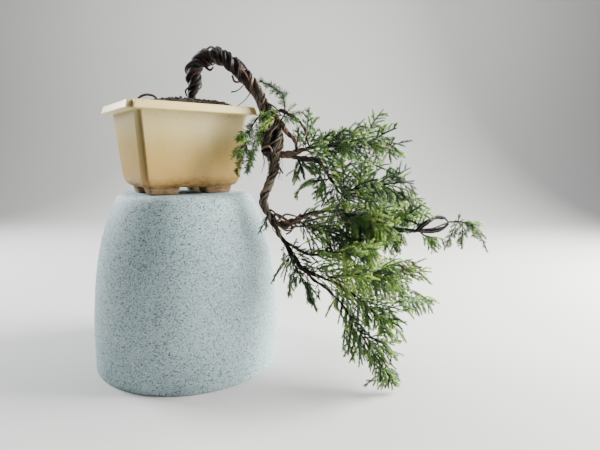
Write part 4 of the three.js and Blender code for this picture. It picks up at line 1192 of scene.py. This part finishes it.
# %% The small tufts' measures
SMALL_TUFTS = {
    "foliage_knot": {
        "seed": 97, "looks": "fern", "radii": (1.4, 0.7), "fill": (0, 20),
        "stem": [(112, -23, 292), (124, -24, 304), (123, -23, 324), (118, -22, 331), (102, -20, 340),
                 (95, -18, 343)],
        "reach": [(0.18, 138, -26, 317), (0.16, 145, -30, 307)],
        "finer": [((122, -26, 304), (99, -41, 289)), ((118, -29, 306), (96, -38, 302)),
                  ((122, -25, 303), (138, -32, 296))],
        "open": [(136, 313, 12, 9)],
        "finer_reach": 0.7,
        "space": ((118, -22, 318), (36, 18, 30)),
    },
    "foliage_pot_side": {
        "seed": 101, "looks": "frond", "radii": (1.3, 0.7), "fill": (1, 24),
        "stem": [(109, -24, 300), (98, -31, 303), (90, -37, 294), (83, -40, 280), (79, -42, 263),
                 (74, -43, 250), (70, -43, 236)],
        "reach": [(0.45, 74, -50, 275), (0.6, 67, -52, 254), (0.6, 88, -48, 250)],
        "finer": [((103, -29, 301), (92, -40, 263)), ((92, -38, 283), (88, -42, 254)),
                  ((90, -41, 263), (82, -43, 239)), ((100, -31, 292), (94, -38, 275))],
        "finer_reach": 0.8,
        "space": ((82, -44, 266), (26, 18, 42)),
    },
    "foliage_under_knot": {
        "seed": 107, "looks": "deep", "radii": (1.3, 0.8), "fill": (1, 20),
        "stem": [(140, -25, 254), (144, -27, 246), (148, -28, 231)],
        "reach": [(0.3, 136, -26, 236), (0.4, 158, -24, 236)],
        "open": [(150, 226, 12, 10)],
        "finer": [((139, -26, 254), (148, -28, 231)), ((144, -26, 252), (161, -30, 234)),
                  ((157, -30, 249), (170, -34, 227))],
        "finer_reach": 0.5,
        "space": ((148, -26, 240), (18, 16, 18)),
    },
    "foliage_stand_side": {
        "seed": 109, "looks": "bare", "radii": (1.1, 0.7), "fill": (0, 16),
        "stem": [(102, -38, 198), (106, -46, 190), (101, -48, 178), (95, -47, 168)],
        "reach": [(0.4, 104, -50, 172)],
        "vigour": (0.30, 1.2, 0.9),
        "space": ((100, -46, 180), (14, 12, 20)),
    },
}
MASSES = {**UPPER_TIERS, **MIDDLE_TIERS, **LOWER_TIERS, **SMALL_TUFTS}
print(len(MASSES), "masses of foliage")

# %% [markdown]
# Three questions settle whether a mass may use a point: is it in the mass's own space, is it well clear
# of the bark, and does the picture show sky there?

# %% The rule of room
SPACE_MARGIN = 0.05
LIMB_CLEARANCE = 1.6
FLOOR_CLEARANCE = 2.5

run_from = np.vstack([path[:-1, :3] for path in limb_paths.values()])
run_to = np.vstack([path[1:, :3] for path in limb_paths.values()])
run_radius = np.concatenate([np.maximum(path[:-1, 3], path[1:, 3]) for path in limb_paths.values()])
run_step = run_to - run_from
run_length2 = np.maximum((run_step ** 2).sum(1), 1e-9)


def bark_distance(point):
    share = np.clip(((point - run_from) * run_step).sum(1) / run_length2, 0, 1)
    foot = run_from + share[:, None] * run_step
    return float((np.linalg.norm(foot - point, axis=1) - run_radius).min())


space_names = list(MASSES)
space_centres = np.array([MASSES[name]["space"][0] for name in space_names], float)
space_halves = np.array([MASSES[name]["space"][1] for name in space_names], float)


def in_open_place(name, point):
    """True in the places, seen from the front, where the photo shows sky between a mass's sprays."""
    return any(((point[0] - x) / wide) ** 2 + ((point[2] - z) / high) ** 2 < 1
               for x, z, wide, high in MASSES[name].get("open", ()))


def allowed(name, point, reach=1.02, margin=SPACE_MARGIN):
    """True where a mass may use a point."""
    values = np.linalg.norm((point - space_centres) / space_halves, axis=1)
    own = values[space_names.index(name)]
    if own > reach or point[2] < FLOOR_CLEARANCE:
        return False
    values[space_names.index(name)] = np.inf
    return values.min() > own + margin and bark_distance(point) >= LIMB_CLEARANCE


print("upper mass may use its middle:", allowed("foliage_upper", np.array([212.0, 4, 278])))

# %% [markdown]
# ## Growing the twigs
# The stem comes first, then twigs that run to the mass's tips, then filling twigs turned round the stem
# by the golden angle. Each twig bows up a little and carries side shoots, left and right by turns. The
# draws of chance come in the same order as for the solids, so the same twigs grow here.

# %% Twigs by the rule
SPRAY_STEP = 8.4
SHOOT_LENGTH, SHOOT_SPREAD, SHOOT_FORWARD, SHOOT_DROOP = 17.5, 0.64, 0.78, 0.2
TWIG_BOW = 0.1
GOLDEN_ANGLE = math.radians(137.5)


def twig_path(root, tip):
    reach = float(np.linalg.norm(tip - root))
    middle = (root + tip) / 2 + np.array([0, 0, TWIG_BOW * reach])
    steps = max(3, math.floor(reach / SPRAY_STEP + 0.5))
    t = np.linspace(0, 1, steps + 1)[:, None]
    return root * (1 - t) ** 2 + middle * 2 * t * (1 - t) + tip * t * t


def side_shoots(name, path, normal, draw):
    """The rule's own side shoots: a root and a tip each."""
    out = []
    normals, along = carried_normals(path, normal), tangents(path)
    steps = len(path) - 1
    for i in range(1, steps):
        side = 1 if i % 2 == 0 else -1
        length = SHOOT_LENGTH * (0.62 + 0.38 * draw()) * (1 - 0.55 * (i / steps) ** 2)
        across = np.cross(along[i], normals[i]) * side
        root = (path[i] + path[i + 1]) / 2
        tip = root + across * SHOOT_SPREAD * length + along[i] * SHOOT_FORWARD * length
        tip[2] -= SHOOT_DROOP * length
        if allowed(name, tip) and allowed(name, root + (tip - root) * 0.55):
            out.append((i, root, tip))
    return out


def grow_mass(name):
    """Stem path and twigs of a mass; a twig is its path, its normal and its shoots."""
    mass = MASSES[name]
    draw = seeded(mass["seed"])
    stem = through(mass["stem"], 3)

    def along(t):
        place = t * (len(stem) - 1)
        i = min(int(place), len(stem) - 2)
        return stem[i] + (stem[i + 1] - stem[i]) * (place - i)

    twigs = []

    def add_twig(root, tip, held):
        path = twig_path(root, tip)
        if held:
            end = next((i for i in range(2, len(path)) if not allowed(name, path[i])), len(path))
            path = path[:end]
        roll = (draw() - 0.5) * 1.7
        normal = np.array([0.2 * (draw() - 0.5), -math.cos(roll + 0.5), math.sin(roll + 0.5)])
        if len(path) >= 4:
            twigs.append((path, normal, side_shoots(name, path, normal, draw)))

    stem_normal = np.array([0, -0.7, 0.7])
    bare = math.floor(len(stem) * 0.35)
    stem_shoots = [shoot for shoot in side_shoots(name, stem, stem_normal, draw) if shoot[0] >= bare]
    for t, x, y, z in mass["reach"]:
        add_twig(along(t), np.array([x, y, z], float), False)
    count, fill_length = mass["fill"]
    for i in range(count):
        t = 0.06 + 0.86 * (i + 0.5) / count
        angle = i * GOLDEN_ANGLE + mass["seed"]
        forward = unit(along(min(t + 0.1, 1)) - along(max(t - 0.1, 0)))
        length = fill_length * (0.75 + 0.4 * draw()) * (1 - 0.35 * t)
        away = np.array([0, 1.15 * math.cos(angle), 0.75 * math.sin(angle) + 0.05])
        tip = along(t) + unit(forward + away) * length
        tip[2] -= 0.12 * length
        add_twig(along(t), tip, True)
    return stem, (stem_normal, stem_shoots), twigs


def finer_twigs(name):
    """Thin twigs that are too fine for the solids; they fill the places between the rule's own."""
    pairs = MASSES[name].get("finer", ())
    return [twig_path(np.array(root, float), np.array(tip, float)) for root, tip in pairs]


grown_masses = {name: grow_mass(name) for name in MASSES}
print("twigs:", sum(len(grown[2]) for grown in grown_masses.values()))

# %% [markdown]
# ## Finer shoots and needles
# A real spray is finer than the solids' teeth. Each twig is a flat frond like a fishbone: shoots leave
# it every few millimetres, left and right by turns, and each shoot is set with short pointed needles
# in threes. There are tens of thousands of needles, so each is a spindle of six faces. Operators would
# take minutes for so many, so all needles of a mass are gathered in arrays and made one mesh.

# %% Gathering shapes in arrays


class Gathered:
    """Triangles with a material number each, gathered until they become one mesh."""

    def __init__(self):
        self.points, self.faces, self.looks, self.count = [], [], [], 0

    def take(self, points, faces, looks):
        self.points.append(points)
        self.faces.append(faces + self.count)
        self.looks.append(looks)
        self.count += len(points)

    def mesh(self, name, smooth=True):
        points = to_metres(np.vstack(self.points))
        faces = np.vstack(self.faces).astype(np.int32)
        data = bpy.data.meshes.new(name)
        data.vertices.add(len(points))
        data.vertices.foreach_set("co", points.ravel())
        data.loops.add(len(faces) * 3)
        data.loops.foreach_set("vertex_index", faces.ravel())
        data.polygons.add(len(faces))
        data.polygons.foreach_set("loop_start", np.arange(len(faces), dtype=np.int32) * 3)
        data.polygons.foreach_set("material_index", np.concatenate(self.looks).astype(np.int32))
        data.polygons.foreach_set("use_smooth", np.full(len(faces), smooth))
        data.update()
        data.validate()
        return data


# %% Needles and thin tubes
NEEDLE_WIDTH = 0.92
SPINDLE_FACES = np.array([(0, 1, 2), (0, 2, 3), (0, 3, 1), (4, 2, 1), (4, 3, 2), (4, 1, 3)])


def set_needles(gathered, roots, outs, axes, lengths, look):
    """Needles from roots, pointing out, each bent a little towards the shoot's tip."""
    count = len(roots)
    side = np.cross(outs, axes)
    side /= np.maximum(np.linalg.norm(side, axis=1, keepdims=True), 1e-9)
    over = np.cross(side, outs)
    lengths = lengths[:, None]
    belly = roots + outs * lengths * 0.38
    half = NEEDLE_WIDTH / 2 * np.sqrt(lengths / 3.2)
    tips = roots + outs * lengths + axes * lengths * 0.18
    rows = np.stack([roots, belly + side * half, belly - 0.5 * side * half + over * half * 0.8,
                     belly - 0.5 * side * half - over * half * 0.8, tips], 1)
    faces = SPINDLE_FACES[None] + (np.arange(count) * 5)[:, None, None]
    gathered.take(rows.reshape(-1, 3), faces.reshape(-1, 3), np.full(count * 6, look))


def set_tube(gathered, path, radii, sides, look):
    """A thin closed tube along a path, for twigs and shoots."""
    path = np.asarray(path, float)
    normals = carried_normals(path, (0.31, -0.75, 0.58))
    across = np.cross(tangents(path), normals)
    radii = np.interp(np.linspace(0, 1, len(path)), np.linspace(0, 1, len(radii)), radii)
    angles = np.arange(sides) / sides * math.tau
    cosines, sines = np.cos(angles)[None, :, None], np.sin(angles)[None, :, None]
    ring = cosines * normals[:, None] + sines * across[:, None]
    points = (path[:, None] + ring * radii[:, None, None]).reshape(-1, 3)
    faces = []
    for i in range(len(path) - 1):
        for j in range(sides):
            a, b = i * sides + j, i * sides + (j + 1) % sides
            faces += [(a, b, b + sides), (a, b + sides, a + sides)]
    last = (len(path) - 1) * sides
    faces += [(0, j + 1, j) for j in range(1, sides - 1)]
    faces += [(last, last + j, last + j + 1) for j in range(1, sides - 1)]
    gathered.take(points, np.array(faces), np.full(len(faces), look))


# %% [markdown]
# Needle colours are plain and dealt out by shoot: darker inside a mass as painted shade, lighter
# towards its outside and its top as painted light, and a few brown ones where a shoot has died. A twig's
# shoots keep near one tone, as they are of one age, and most shoots are fresher towards the tip by one
# tone or two.

# %% Needle finishes
NEEDLE_TONES = {
    "shade": (0.013, 0.026, 0.010), "deep": (0.036, 0.080, 0.026), "leaf": (0.100, 0.200, 0.048),
    "fresh": (0.205, 0.370, 0.064), "tip": (0.385, 0.545, 0.098), "dry": (0.13, 0.095, 0.055),
}
needle_finishes = [new_finish("needle_" + name, Base_Color=(*tone, 1), Roughness=0.5)[0]
                   for name, tone in NEEDLE_TONES.items()]
SHADE, DEEP, LEAF, FRESH, TIP, DRY = range(6)

# share of each tone inside the mass, then on its outside; the shift between them is painted shade and light
LOOKS = {
    "deep": ((0.34, 0.46, 0.15, 0.02, 0.0, 0.03), (0.08, 0.34, 0.38, 0.15, 0.05, 0.0)),
    "leafy": ((0.26, 0.42, 0.28, 0.02, 0.0, 0.02), (0.02, 0.15, 0.36, 0.31, 0.16, 0.0)),
    "bright": ((0.10, 0.30, 0.44, 0.14, 0.0, 0.02), (0.0, 0.07, 0.30, 0.38, 0.25, 0.0)),
    "sparse": ((0.30, 0.40, 0.20, 0.04, 0.0, 0.06), (0.08, 0.32, 0.40, 0.16, 0.04, 0.0)),
    "dusky": ((0.44, 0.44, 0.10, 0.0, 0.0, 0.02), (0.26, 0.46, 0.22, 0.06, 0.0, 0.0)),
    "bare": ((0.40, 0.44, 0.14, 0.0, 0.0, 0.02), (0.22, 0.44, 0.26, 0.08, 0.0, 0.0)),
    "frond": ((0.10, 0.42, 0.42, 0.06, 0.0, 0.0), (0.04, 0.24, 0.44, 0.24, 0.04, 0.0)),
    "fern": ((0.12, 0.42, 0.38, 0.06, 0.0, 0.02), (0.04, 0.26, 0.42, 0.22, 0.06, 0.0)),
}
LOOKS["whip"] = LOOKS["bright"]

# %% [markdown]
# A habit is how a mass's shoots are built: the needle's length and lean, the step between its whorls, how
# far the shoots stretch and droop, and how far apart they stand. The upper tiers are full and level, the
# lower ones slim and hanging, and the fronds at the knot long-needled.

# %% Habits
Habit = namedtuple("Habit", "needle lean whorl stretch droop apart")
HABITS = {
    "deep": Habit(3.1, 0.62, 1.42, 1.62, 0.10, 3.6),
    "leafy": Habit(3.2, 0.62, 1.42, 1.62, 0.22, 3.4),
    "bright": Habit(3.0, 0.56, 1.30, 1.95, 0.36, 4.5),
    "whip": Habit(2.95, 0.56, 1.25, 1.75, 0.46, 5.2),
    "dusky": Habit(3.1, 0.66, 1.50, 1.25, 0.50, 4.8),
    "sparse": Habit(3.3, 0.72, 1.50, 1.30, 0.20, 3.8),
    "bare": Habit(2.75, 0.60, 1.45, 1.30, 0.46, 5.0),
    "fern": Habit(5.2, 0.95, 1.90, 0.60, 0.10, 8.0),
    "frond": Habit(4.6, 0.95, 1.60, 0.56, 0.16, 4.0),
}


def deal_tone(looks, outward, chance):
    inner, outer = LOOKS[looks]
    mark = 0.0
    for look, (a, b) in enumerate(zip(inner, outer)):
        mark += a + (b - a) * outward
        if chance < mark:
            return look
    return LEAF


def painted_light_share(name, point):
    """Painted light and shade: 0 in the middle of a mass, 1 on its outside, with more for its top than for
    its underside.
    """
    centre, halves = (np.array(part, float) for part in MASSES[name]["space"])
    place = (point - centre) / halves
    out = 0.62 * min(1.0, float(np.linalg.norm(place))) + 0.30 * (place[2] + 1) / 2
    return max(0.0, min(1.0, out + 0.05))


twig_brown = rope_bark("twig_brown", (0.010, 0.007, 0.005, 1), (0.055, 0.034, 0.021, 1),
                       (0.20, 0.14, 0.10, 1), (0.10, 0.045, 0.02, 1), 0.1, 0.6)
print("needle tones:", ", ".join(NEEDLE_TONES))

# %% [markdown]
# A shoot starts at the twig, leans outward and forward and droops towards its tip. Its needles stand in
# whorls of three, each whorl turned from the last, longest at the middle of the shoot.

# %% Shoots and their needles


def set_spray(needles, path, size, habit, look, draw, from_share=0.0, to_share=1.0):
    """Whorls of needles along part of a path."""
    run = lengths_along(path)
    marks = np.arange(from_share * run[-1] + 0.5, to_share * run[-1], habit.whorl)
    if not len(marks):
        return
    centres = np.array([np.interp(marks, run, path[:, k]) for k in range(3)]).T
    axis_all, normal_all = tangents(path), carried_normals(path, (0.4, -0.5, 0.76))
    axes = np.array([np.interp(marks, run, axis_all[:, k]) for k in range(3)]).T
    axes /= np.linalg.norm(axes, axis=1, keepdims=True)
    normals = np.array([np.interp(marks, run, normal_all[:, k]) for k in range(3)]).T
    sides = np.cross(axes, normals)
    phase = draw() * math.tau
    share = marks / run[-1]
    for k in range(3):
        angles = phase + k * math.tau / 3 + np.arange(len(marks)) * math.pi / 3
        round_dirs = np.cos(angles)[:, None] * normals + np.sin(angles)[:, None] * sides
        leans = habit.lean + 0.14 * np.sin(np.arange(len(marks)) * 2.399 + k * 1.7 + phase)
        leans = leans * (1.05 - 0.35 * share)
        outs = round_dirs * np.sin(leans)[:, None] + axes * np.cos(leans)[:, None]
        sizes = habit.needle * size * (0.72 + 0.42 * np.sin(math.pi * (0.16 + 0.68 * share)))
        sizes *= 0.84 + 0.26 * np.sin(np.arange(len(marks)) * 5.13 + k * 2.1 + phase) ** 2
        set_needles(needles, centres, outs, axes, sizes, look)


def set_shoot(needles, wood, path, size, habit, look, draw):
    """A shoot in one tone, or with its outer part one and then two tones fresher."""
    set_tube(wood, path, (0.38, 0.16), 3, 1 + look)
    parts = [(0.05, 1.0)]
    if look < TIP and draw() < 0.72:
        in_two, in_three = [(0.05, 0.6), (0.6, 1.0)], [(0.05, 0.5), (0.5, 0.8), (0.8, 1.0)]
        parts = in_two if look < LEAF or draw() < 0.5 else in_three
    for step, (start, end) in enumerate(parts):
        set_spray(needles, path, size, habit, min(TIP, look + step) if look < DRY else look, draw, start, end)


def shoot_path(root, tip, droop, steps=4):
    """From root to tip: it rises a little, then hangs over."""
    middle = (root + tip) / 2 + np.array([0, 0, (0.08 + 0.35 * droop) * float(np.linalg.norm(tip - root))])
    t = np.linspace(0, 1, steps + 1)[:, None]
    return root * (1 - t) ** 2 + middle * 2 * t * (1 - t) + tip * t * t


# %% [markdown]
# Along every twig finer shoots stand between the rule's own, in the frond's plane, straight and slim.
# The upper tiers hold theirs out; the lower tiers hang in long thin whips; the two small fronds at the
# knot are ferny, with long needles on the twig itself. All keep to the mass's room by the same rule, and
# out of the open places.

# %% Finer shoots
# how far finer shoots reach, in half sizes of the space, and how far they may go into another mass's
ROOM, LOOSE = 1.34, -0.25
FINER_SIDEWAYS, FINER_FORWARD = 0.72, 0.80


def finer_shoots(name, path, normal, draw, first_share, habit, room):
    out = []
    margin = LOOSE if room <= ROOM else 3 * LOOSE
    run = lengths_along(path)
    along, normals = tangents(path), carried_normals(path, normal)
    marks = np.arange(first_share * run[-1] + 2, run[-1] - 1.5, habit.apart)
    for n, mark in enumerate(marks):
        root = np.array([np.interp(mark, run, path[:, k]) for k in range(3)])
        i = min(int(np.searchsorted(run, mark)), len(path) - 1)
        share = mark / run[-1]
        turn = (n % 2) * math.pi + (draw() - 0.5) * 0.9
        across = np.cross(along[i], normals[i]) * math.cos(turn) + normals[i] * math.sin(turn)
        length = SHOOT_LENGTH * habit.stretch * (0.60 + 0.45 * draw()) * (1 - 0.62 * share ** 1.6)
        way = unit(across * FINER_SIDEWAYS + along[i] * FINER_FORWARD - np.array([0, 0, habit.droop]))
        tip = root + way * length
        middle = root + (tip - root) * 0.55
        if in_open_place(name, tip) or in_open_place(name, middle):
            continue
        if allowed(name, tip, room, margin) and allowed(name, middle, room, margin):
            out.append((share, root, tip))
    return out


# %% Smallest shoots
SHOOTLET_STEP, SHORTEST_SHOOTLET = 6.5, 2.5


def set_shootlets(name, needles, wood, curve, normal, size, habit, look, draw):
    """Small shoots along one of the rule's own, left and right by turns."""
    length = float(np.linalg.norm(curve[-1] - curve[0]))
    along = unit(curve[-1] - curve[0])
    across = unit(np.cross(along, normal))
    count = round(length / SHOOTLET_STEP)
    for k in range(count):
        t = (k + 0.9) / (count + 0.8) * (len(curve) - 1)
        i = int(t)
        root = curve[i] + (curve[min(i + 1, len(curve) - 1)] - curve[i]) * (t - i)
        side = across * (1 if k % 2 else -1)
        reach = length * 0.36 * (1 - 0.4 * k / count) * (0.8 + 0.4 * draw())
        way = unit(side * 0.55 + along * 0.88 - np.array([0, 0, habit.droop * 0.6]))
        tip = root + way * reach
        if reach > SHORTEST_SHOOTLET and allowed(name, tip, ROOM, LOOSE):
            set_shoot(needles, wood, shoot_path(root, tip, 0.1, 2), 0.9 * size, habit, look, draw)


# %% [markdown]
# A path is dressed in three steps: a smooth tube of bark, shoots on both sides in tones by age and place,
# and a spray of needles on its own outer part. Boughs that bear leaves are dressed too, without a tube.

# %% Dressing a path


def dress_path(name, needles, wood, path, normal, own_shoots, radii, first_share, draw, sides=5, age=None,
               room=None, share_of_reach=1.0):
    looks = MASSES[name]["looks"]
    stretch, apart, own_room = MASSES[name].get("vigour", (1, 1, ROOM))
    plain = HABITS[looks]
    habit = plain._replace(stretch=plain.stretch * stretch * share_of_reach, apart=plain.apart * apart)
    room = room or own_room
    steps = len(path) - 1
    smooth = through(path, 2)
    if radii:
        set_tube(wood, smooth, radii, sides, 0)
    age = draw() if age is None else age
    shoots = [(i / steps, root, root + (tip - root) * habit.stretch * 0.95)
              for i, root, tip in own_shoots
              if not in_open_place(name, root + (tip - root) * habit.stretch * 0.8)]
    fullness = 0.86 + 0.5 * draw() ** 2
    own_count = len(shoots)
    shoots += finer_shoots(name, path, normal, draw, first_share, habit, room)
    for number, (_, root, tip) in enumerate(shoots):
        curve = shoot_path(root, tip, habit.droop)
        chance = max(0.0, min(0.999, 0.5 + 1.35 * (0.55 * age + 0.45 * draw() - 0.5)))
        # painted shade inside the mass, painted light on its outside and top
        look = deal_tone(looks, painted_light_share(name, tip), chance)
        set_shoot(needles, wood, curve, fullness, habit, look, draw)
        if number < own_count and looks != "fern":
            set_shootlets(name, needles, wood, curve, normal, fullness, habit, look, draw)
    if radii:
        tip_look = deal_tone(looks, painted_light_share(name, path[-1]), 0.3 + 0.69 * draw())
        set_spray(needles, smooth, 1.15 * fullness, habit, tip_look, draw, max(first_share, 0.35))


# %% Dressing a mass
# masses, boughs that bear some of their leaves, from which share of the bough's length, and their room
LEAFY_BOUGHS = [
    ("foliage_upper", "bough_upper", 0.22, 1.55), ("foliage_second", "bough_second", 0.35, 1.45),
    ("foliage_middle", "bough_middle", 0.45, 1.5), ("foliage_under_knot", "bough_second", 0.1, 1.5),
    ("foliage_low_right", "trunk", 0.93, 1.3), ("foliage_low_left", "trunk", 0.76, 1.2),
    ("foliage_lowest", "bough_lowest", 0.1, 1.7), ("foliage_low_upper", "bough_low_twig", 0.35, 1.5),
]


def dress_mass(name):
    stem, (stem_normal, stem_shoots), twigs = grown_masses[name]
    needles, wood = Gathered(), Gathered()
    draw = seeded(MASSES[name]["seed"] * 7919 + 5)
    thick, thin = MASSES[name]["radii"]
    dress_path(name, needles, wood, stem, stem_normal, stem_shoots, (0.8 * thick, 0.8 * thin), 0.02, draw, 8)
    every = MASSES[name].get("skip")
    for number, (path, normal, shoots) in enumerate(twigs):
        if every and number >= len(MASSES[name]["reach"]) and number % every:
            continue
        age = 0.98 if number in MASSES[name].get("freshest", ()) else None
        dress_path(name, needles, wood, path, normal, shoots, (0.75, 0.32), 0.04, draw, age=age)
    for path in finer_twigs(name):
        normal = np.array([0.3 * (draw() - 0.5), -0.9, 0.5 * draw()])
        dress_path(name, needles, wood, path, normal, [], (0.6, 0.3), 0.02, draw, room=2.2,
                   share_of_reach=MASSES[name].get("finer_reach", 0.9))
    for mass, bough, first, room in LEAFY_BOUGHS:
        if mass == name:
            line = through(LIMBS[bough], 2)[:, :3]
            dress_path(name, needles, wood, line, np.array([0, -0.7, 0.7]), [], None, first, draw, room=room)
    plain = name.replace("foliage_", "")
    finish_piece("needles_" + plain, needles.mesh("needles_" + plain), needle_finishes, [name])
    finish_piece("twigs_" + plain, wood.mesh("twigs_" + plain), [twig_brown] + needle_finishes,
                 [name])
    return sum(len(faces) for faces in needles.faces), sum(len(faces) for faces in wood.faces)


dressed = {name: dress_mass(name) for name in MASSES}
print("needle faces:", sum(pair[0] for pair in dressed.values()), "twig faces:",
      sum(pair[1] for pair in dressed.values()))

# %% [markdown]
# ## Soil
# The pot is filled with a dark damp grit, heaped a little round the trunk's foot. A mound with a rough
# skin carries a few hundred crumbs, each a small lump of a few faces, turned and sized by chance.

# %% The heap's shape
HEAP_SHARES = [1.0, 0.94, 0.84, 0.74, 0.63, 0.52, 0.43, 0.34, 0.22, 0.10]
HEAP_RISES = [0.0, 0.40, 0.58, 0.72, 0.84, 0.93, 0.97, 1.0, 1.0, 1.0]
HEAP_FOOT, HEAP_TOP = 92.2, 109.6
SOIL_INSET, SOIL_FOOT_INSET, SOIL_FOOT = 13.5, 18.5, 60
trunk_foot = np.array([12.0 - POT_X, -8.0 - POT_Y])
heap_centre = np.array([math.cos(POT_TURN) * trunk_foot[0] + math.sin(POT_TURN) * trunk_foot[1],
                        math.cos(POT_TURN) * trunk_foot[1] - math.sin(POT_TURN) * trunk_foot[0]])


def even_outline(inset, count=168):
    """The pot's notched outline as points at even steps, so that the soil's rings match each other."""
    corners = np.array([tuple(p) for p in notched_outline(inset)])
    closed = np.vstack([corners, corners[:1]])
    run = lengths_along(closed)
    marks = np.linspace(0, run[-1], count, endpoint=False)
    return np.array([np.interp(marks, run, closed[:, k]) for k in range(2)]).T


soil_edge = even_outline(SOIL_INSET)


def heap_place(corner, share):
    """A point of the heap: an outline point drawn in to a share of its distance, and raised."""
    rise = float(np.interp(-share, [-s for s in HEAP_SHARES], HEAP_RISES))
    x, y = corner * share + heap_centre * rise ** 2
    rough = 0.5 * noise.noise(Vector((x / 5, y / 5, 3))) + 0.4 * noise.noise(Vector((x / 2, y / 2, 8)))
    return x, y, HEAP_FOOT + (HEAP_TOP - HEAP_FOOT) * rise - 0.4 + rough * min(1.0, 6 * (1.04 - share))


print("heap: from", HEAP_FOOT, "to", HEAP_TOP, "mm above the pot's foot")

# %% Soil mound


def soil_form():
    form = bmesh.new()
    low = even_outline(SOIL_FOOT_INSET)
    ring = bottom = first_ring(form, [pot_point(x, y, SOIL_FOOT) for x, y in low])
    for share in HEAP_SHARES:
        ring = raise_ring(form, ring, [pot_point(*heap_place(corner, share)) for corner in soil_edge])
    close_ring(form, bottom)
    close_ring(form, ring)
    bmesh.ops.recalc_face_normals(form, faces=form.faces)
    return form


def damp_grit(name, low, high):
    material, tree, shader = new_finish(name, Roughness=0.85)
    crumbs = cloudy(tree, own_place(tree), 420.0, 4.0)
    tree.links.new(mix_colour(tree, span(tree, crumbs, 0.4, 0.65), low, high), shader.inputs["Base Color"])
    bump(tree, shader, crumbs, 0.0006, 0.8)
    return material


dark_grit = damp_grit("dark_grit", (0.008, 0.006, 0.005, 1), (0.045, 0.033, 0.026, 1))
brown_grit = damp_grit("brown_grit", (0.05, 0.03, 0.018, 1), (0.16, 0.10, 0.06, 1))
finish_piece("soil_mound", mesh_from(soil_form(), "soil_mound", 60), [dark_grit], ["soil"])

# %% Crumbs of grit


def crumb_shape():
    """One lump of twenty faces, as arrays."""
    form = bmesh.new()
    bmesh.ops.create_icosphere(form, subdivisions=1, radius=1)
    points = np.array([tuple(vertex.co) for vertex in form.verts])
    faces = np.array([[vertex.index for vertex in face.verts] for face in form.faces])
    form.free()
    return points, faces


crumb_points, crumb_faces = crumb_shape()
crumbs = Gathered()
CRUMBS = 760
draw = seeded(4711)
for _ in range(CRUMBS):
    corner = soil_edge[int(draw() * len(soil_edge)) % len(soil_edge)]
    share = 0.30 + 0.63 * draw() ** 0.8
    size = 0.7 + 1.4 * draw() ** 3
    x, y, z = heap_place(corner, share)
    spot = pot_point(x, y, z + 0.9 * draw() - 0.2)
    centre = np.array([(spot.x - AXIS_X) / MM, spot.y / MM, spot.z / MM])
    turn = np.array(Matrix.Rotation(draw() * math.tau, 3, (draw(), draw(), 0.3 + draw())))
    stretch = np.array([0.7 + 0.7 * draw(), 0.7 + 0.6 * draw(), 0.6 + 0.5 * draw()])
    jag = 1 + 0.2 * (np.array([draw() for _ in range(len(crumb_points))]) - 0.5)
    lump = (crumb_points * jag[:, None] * stretch * size) @ turn.T + centre
    crumbs.take(lump, crumb_faces, np.full(len(crumb_faces), 1 if draw() < 0.12 else 0))
finish_piece("soil_crumbs", crumbs.mesh("soil_crumbs", False), [dark_grit, brown_grit], ["soil"])

# %% [markdown]
# ## Last measurements
# The dressed part's box is measured and printed beside the solids' box.

# %% Print both boxes and the triangles
dressed_low, dressed_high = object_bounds()
boxes = {"cad": [list(cad_low), list(cad_high)], "visual": [list(dressed_low), list(dressed_high)]}
for label, (low, high) in boxes.items():
    print(label, [round(1000 * v, 1) for v in low], [round(1000 * v, 1) for v in high])
total = 0
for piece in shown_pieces():
    piece.data.calc_loop_triangles()
    total += len(piece.data.loop_triangles)
print("triangles in all:", total)
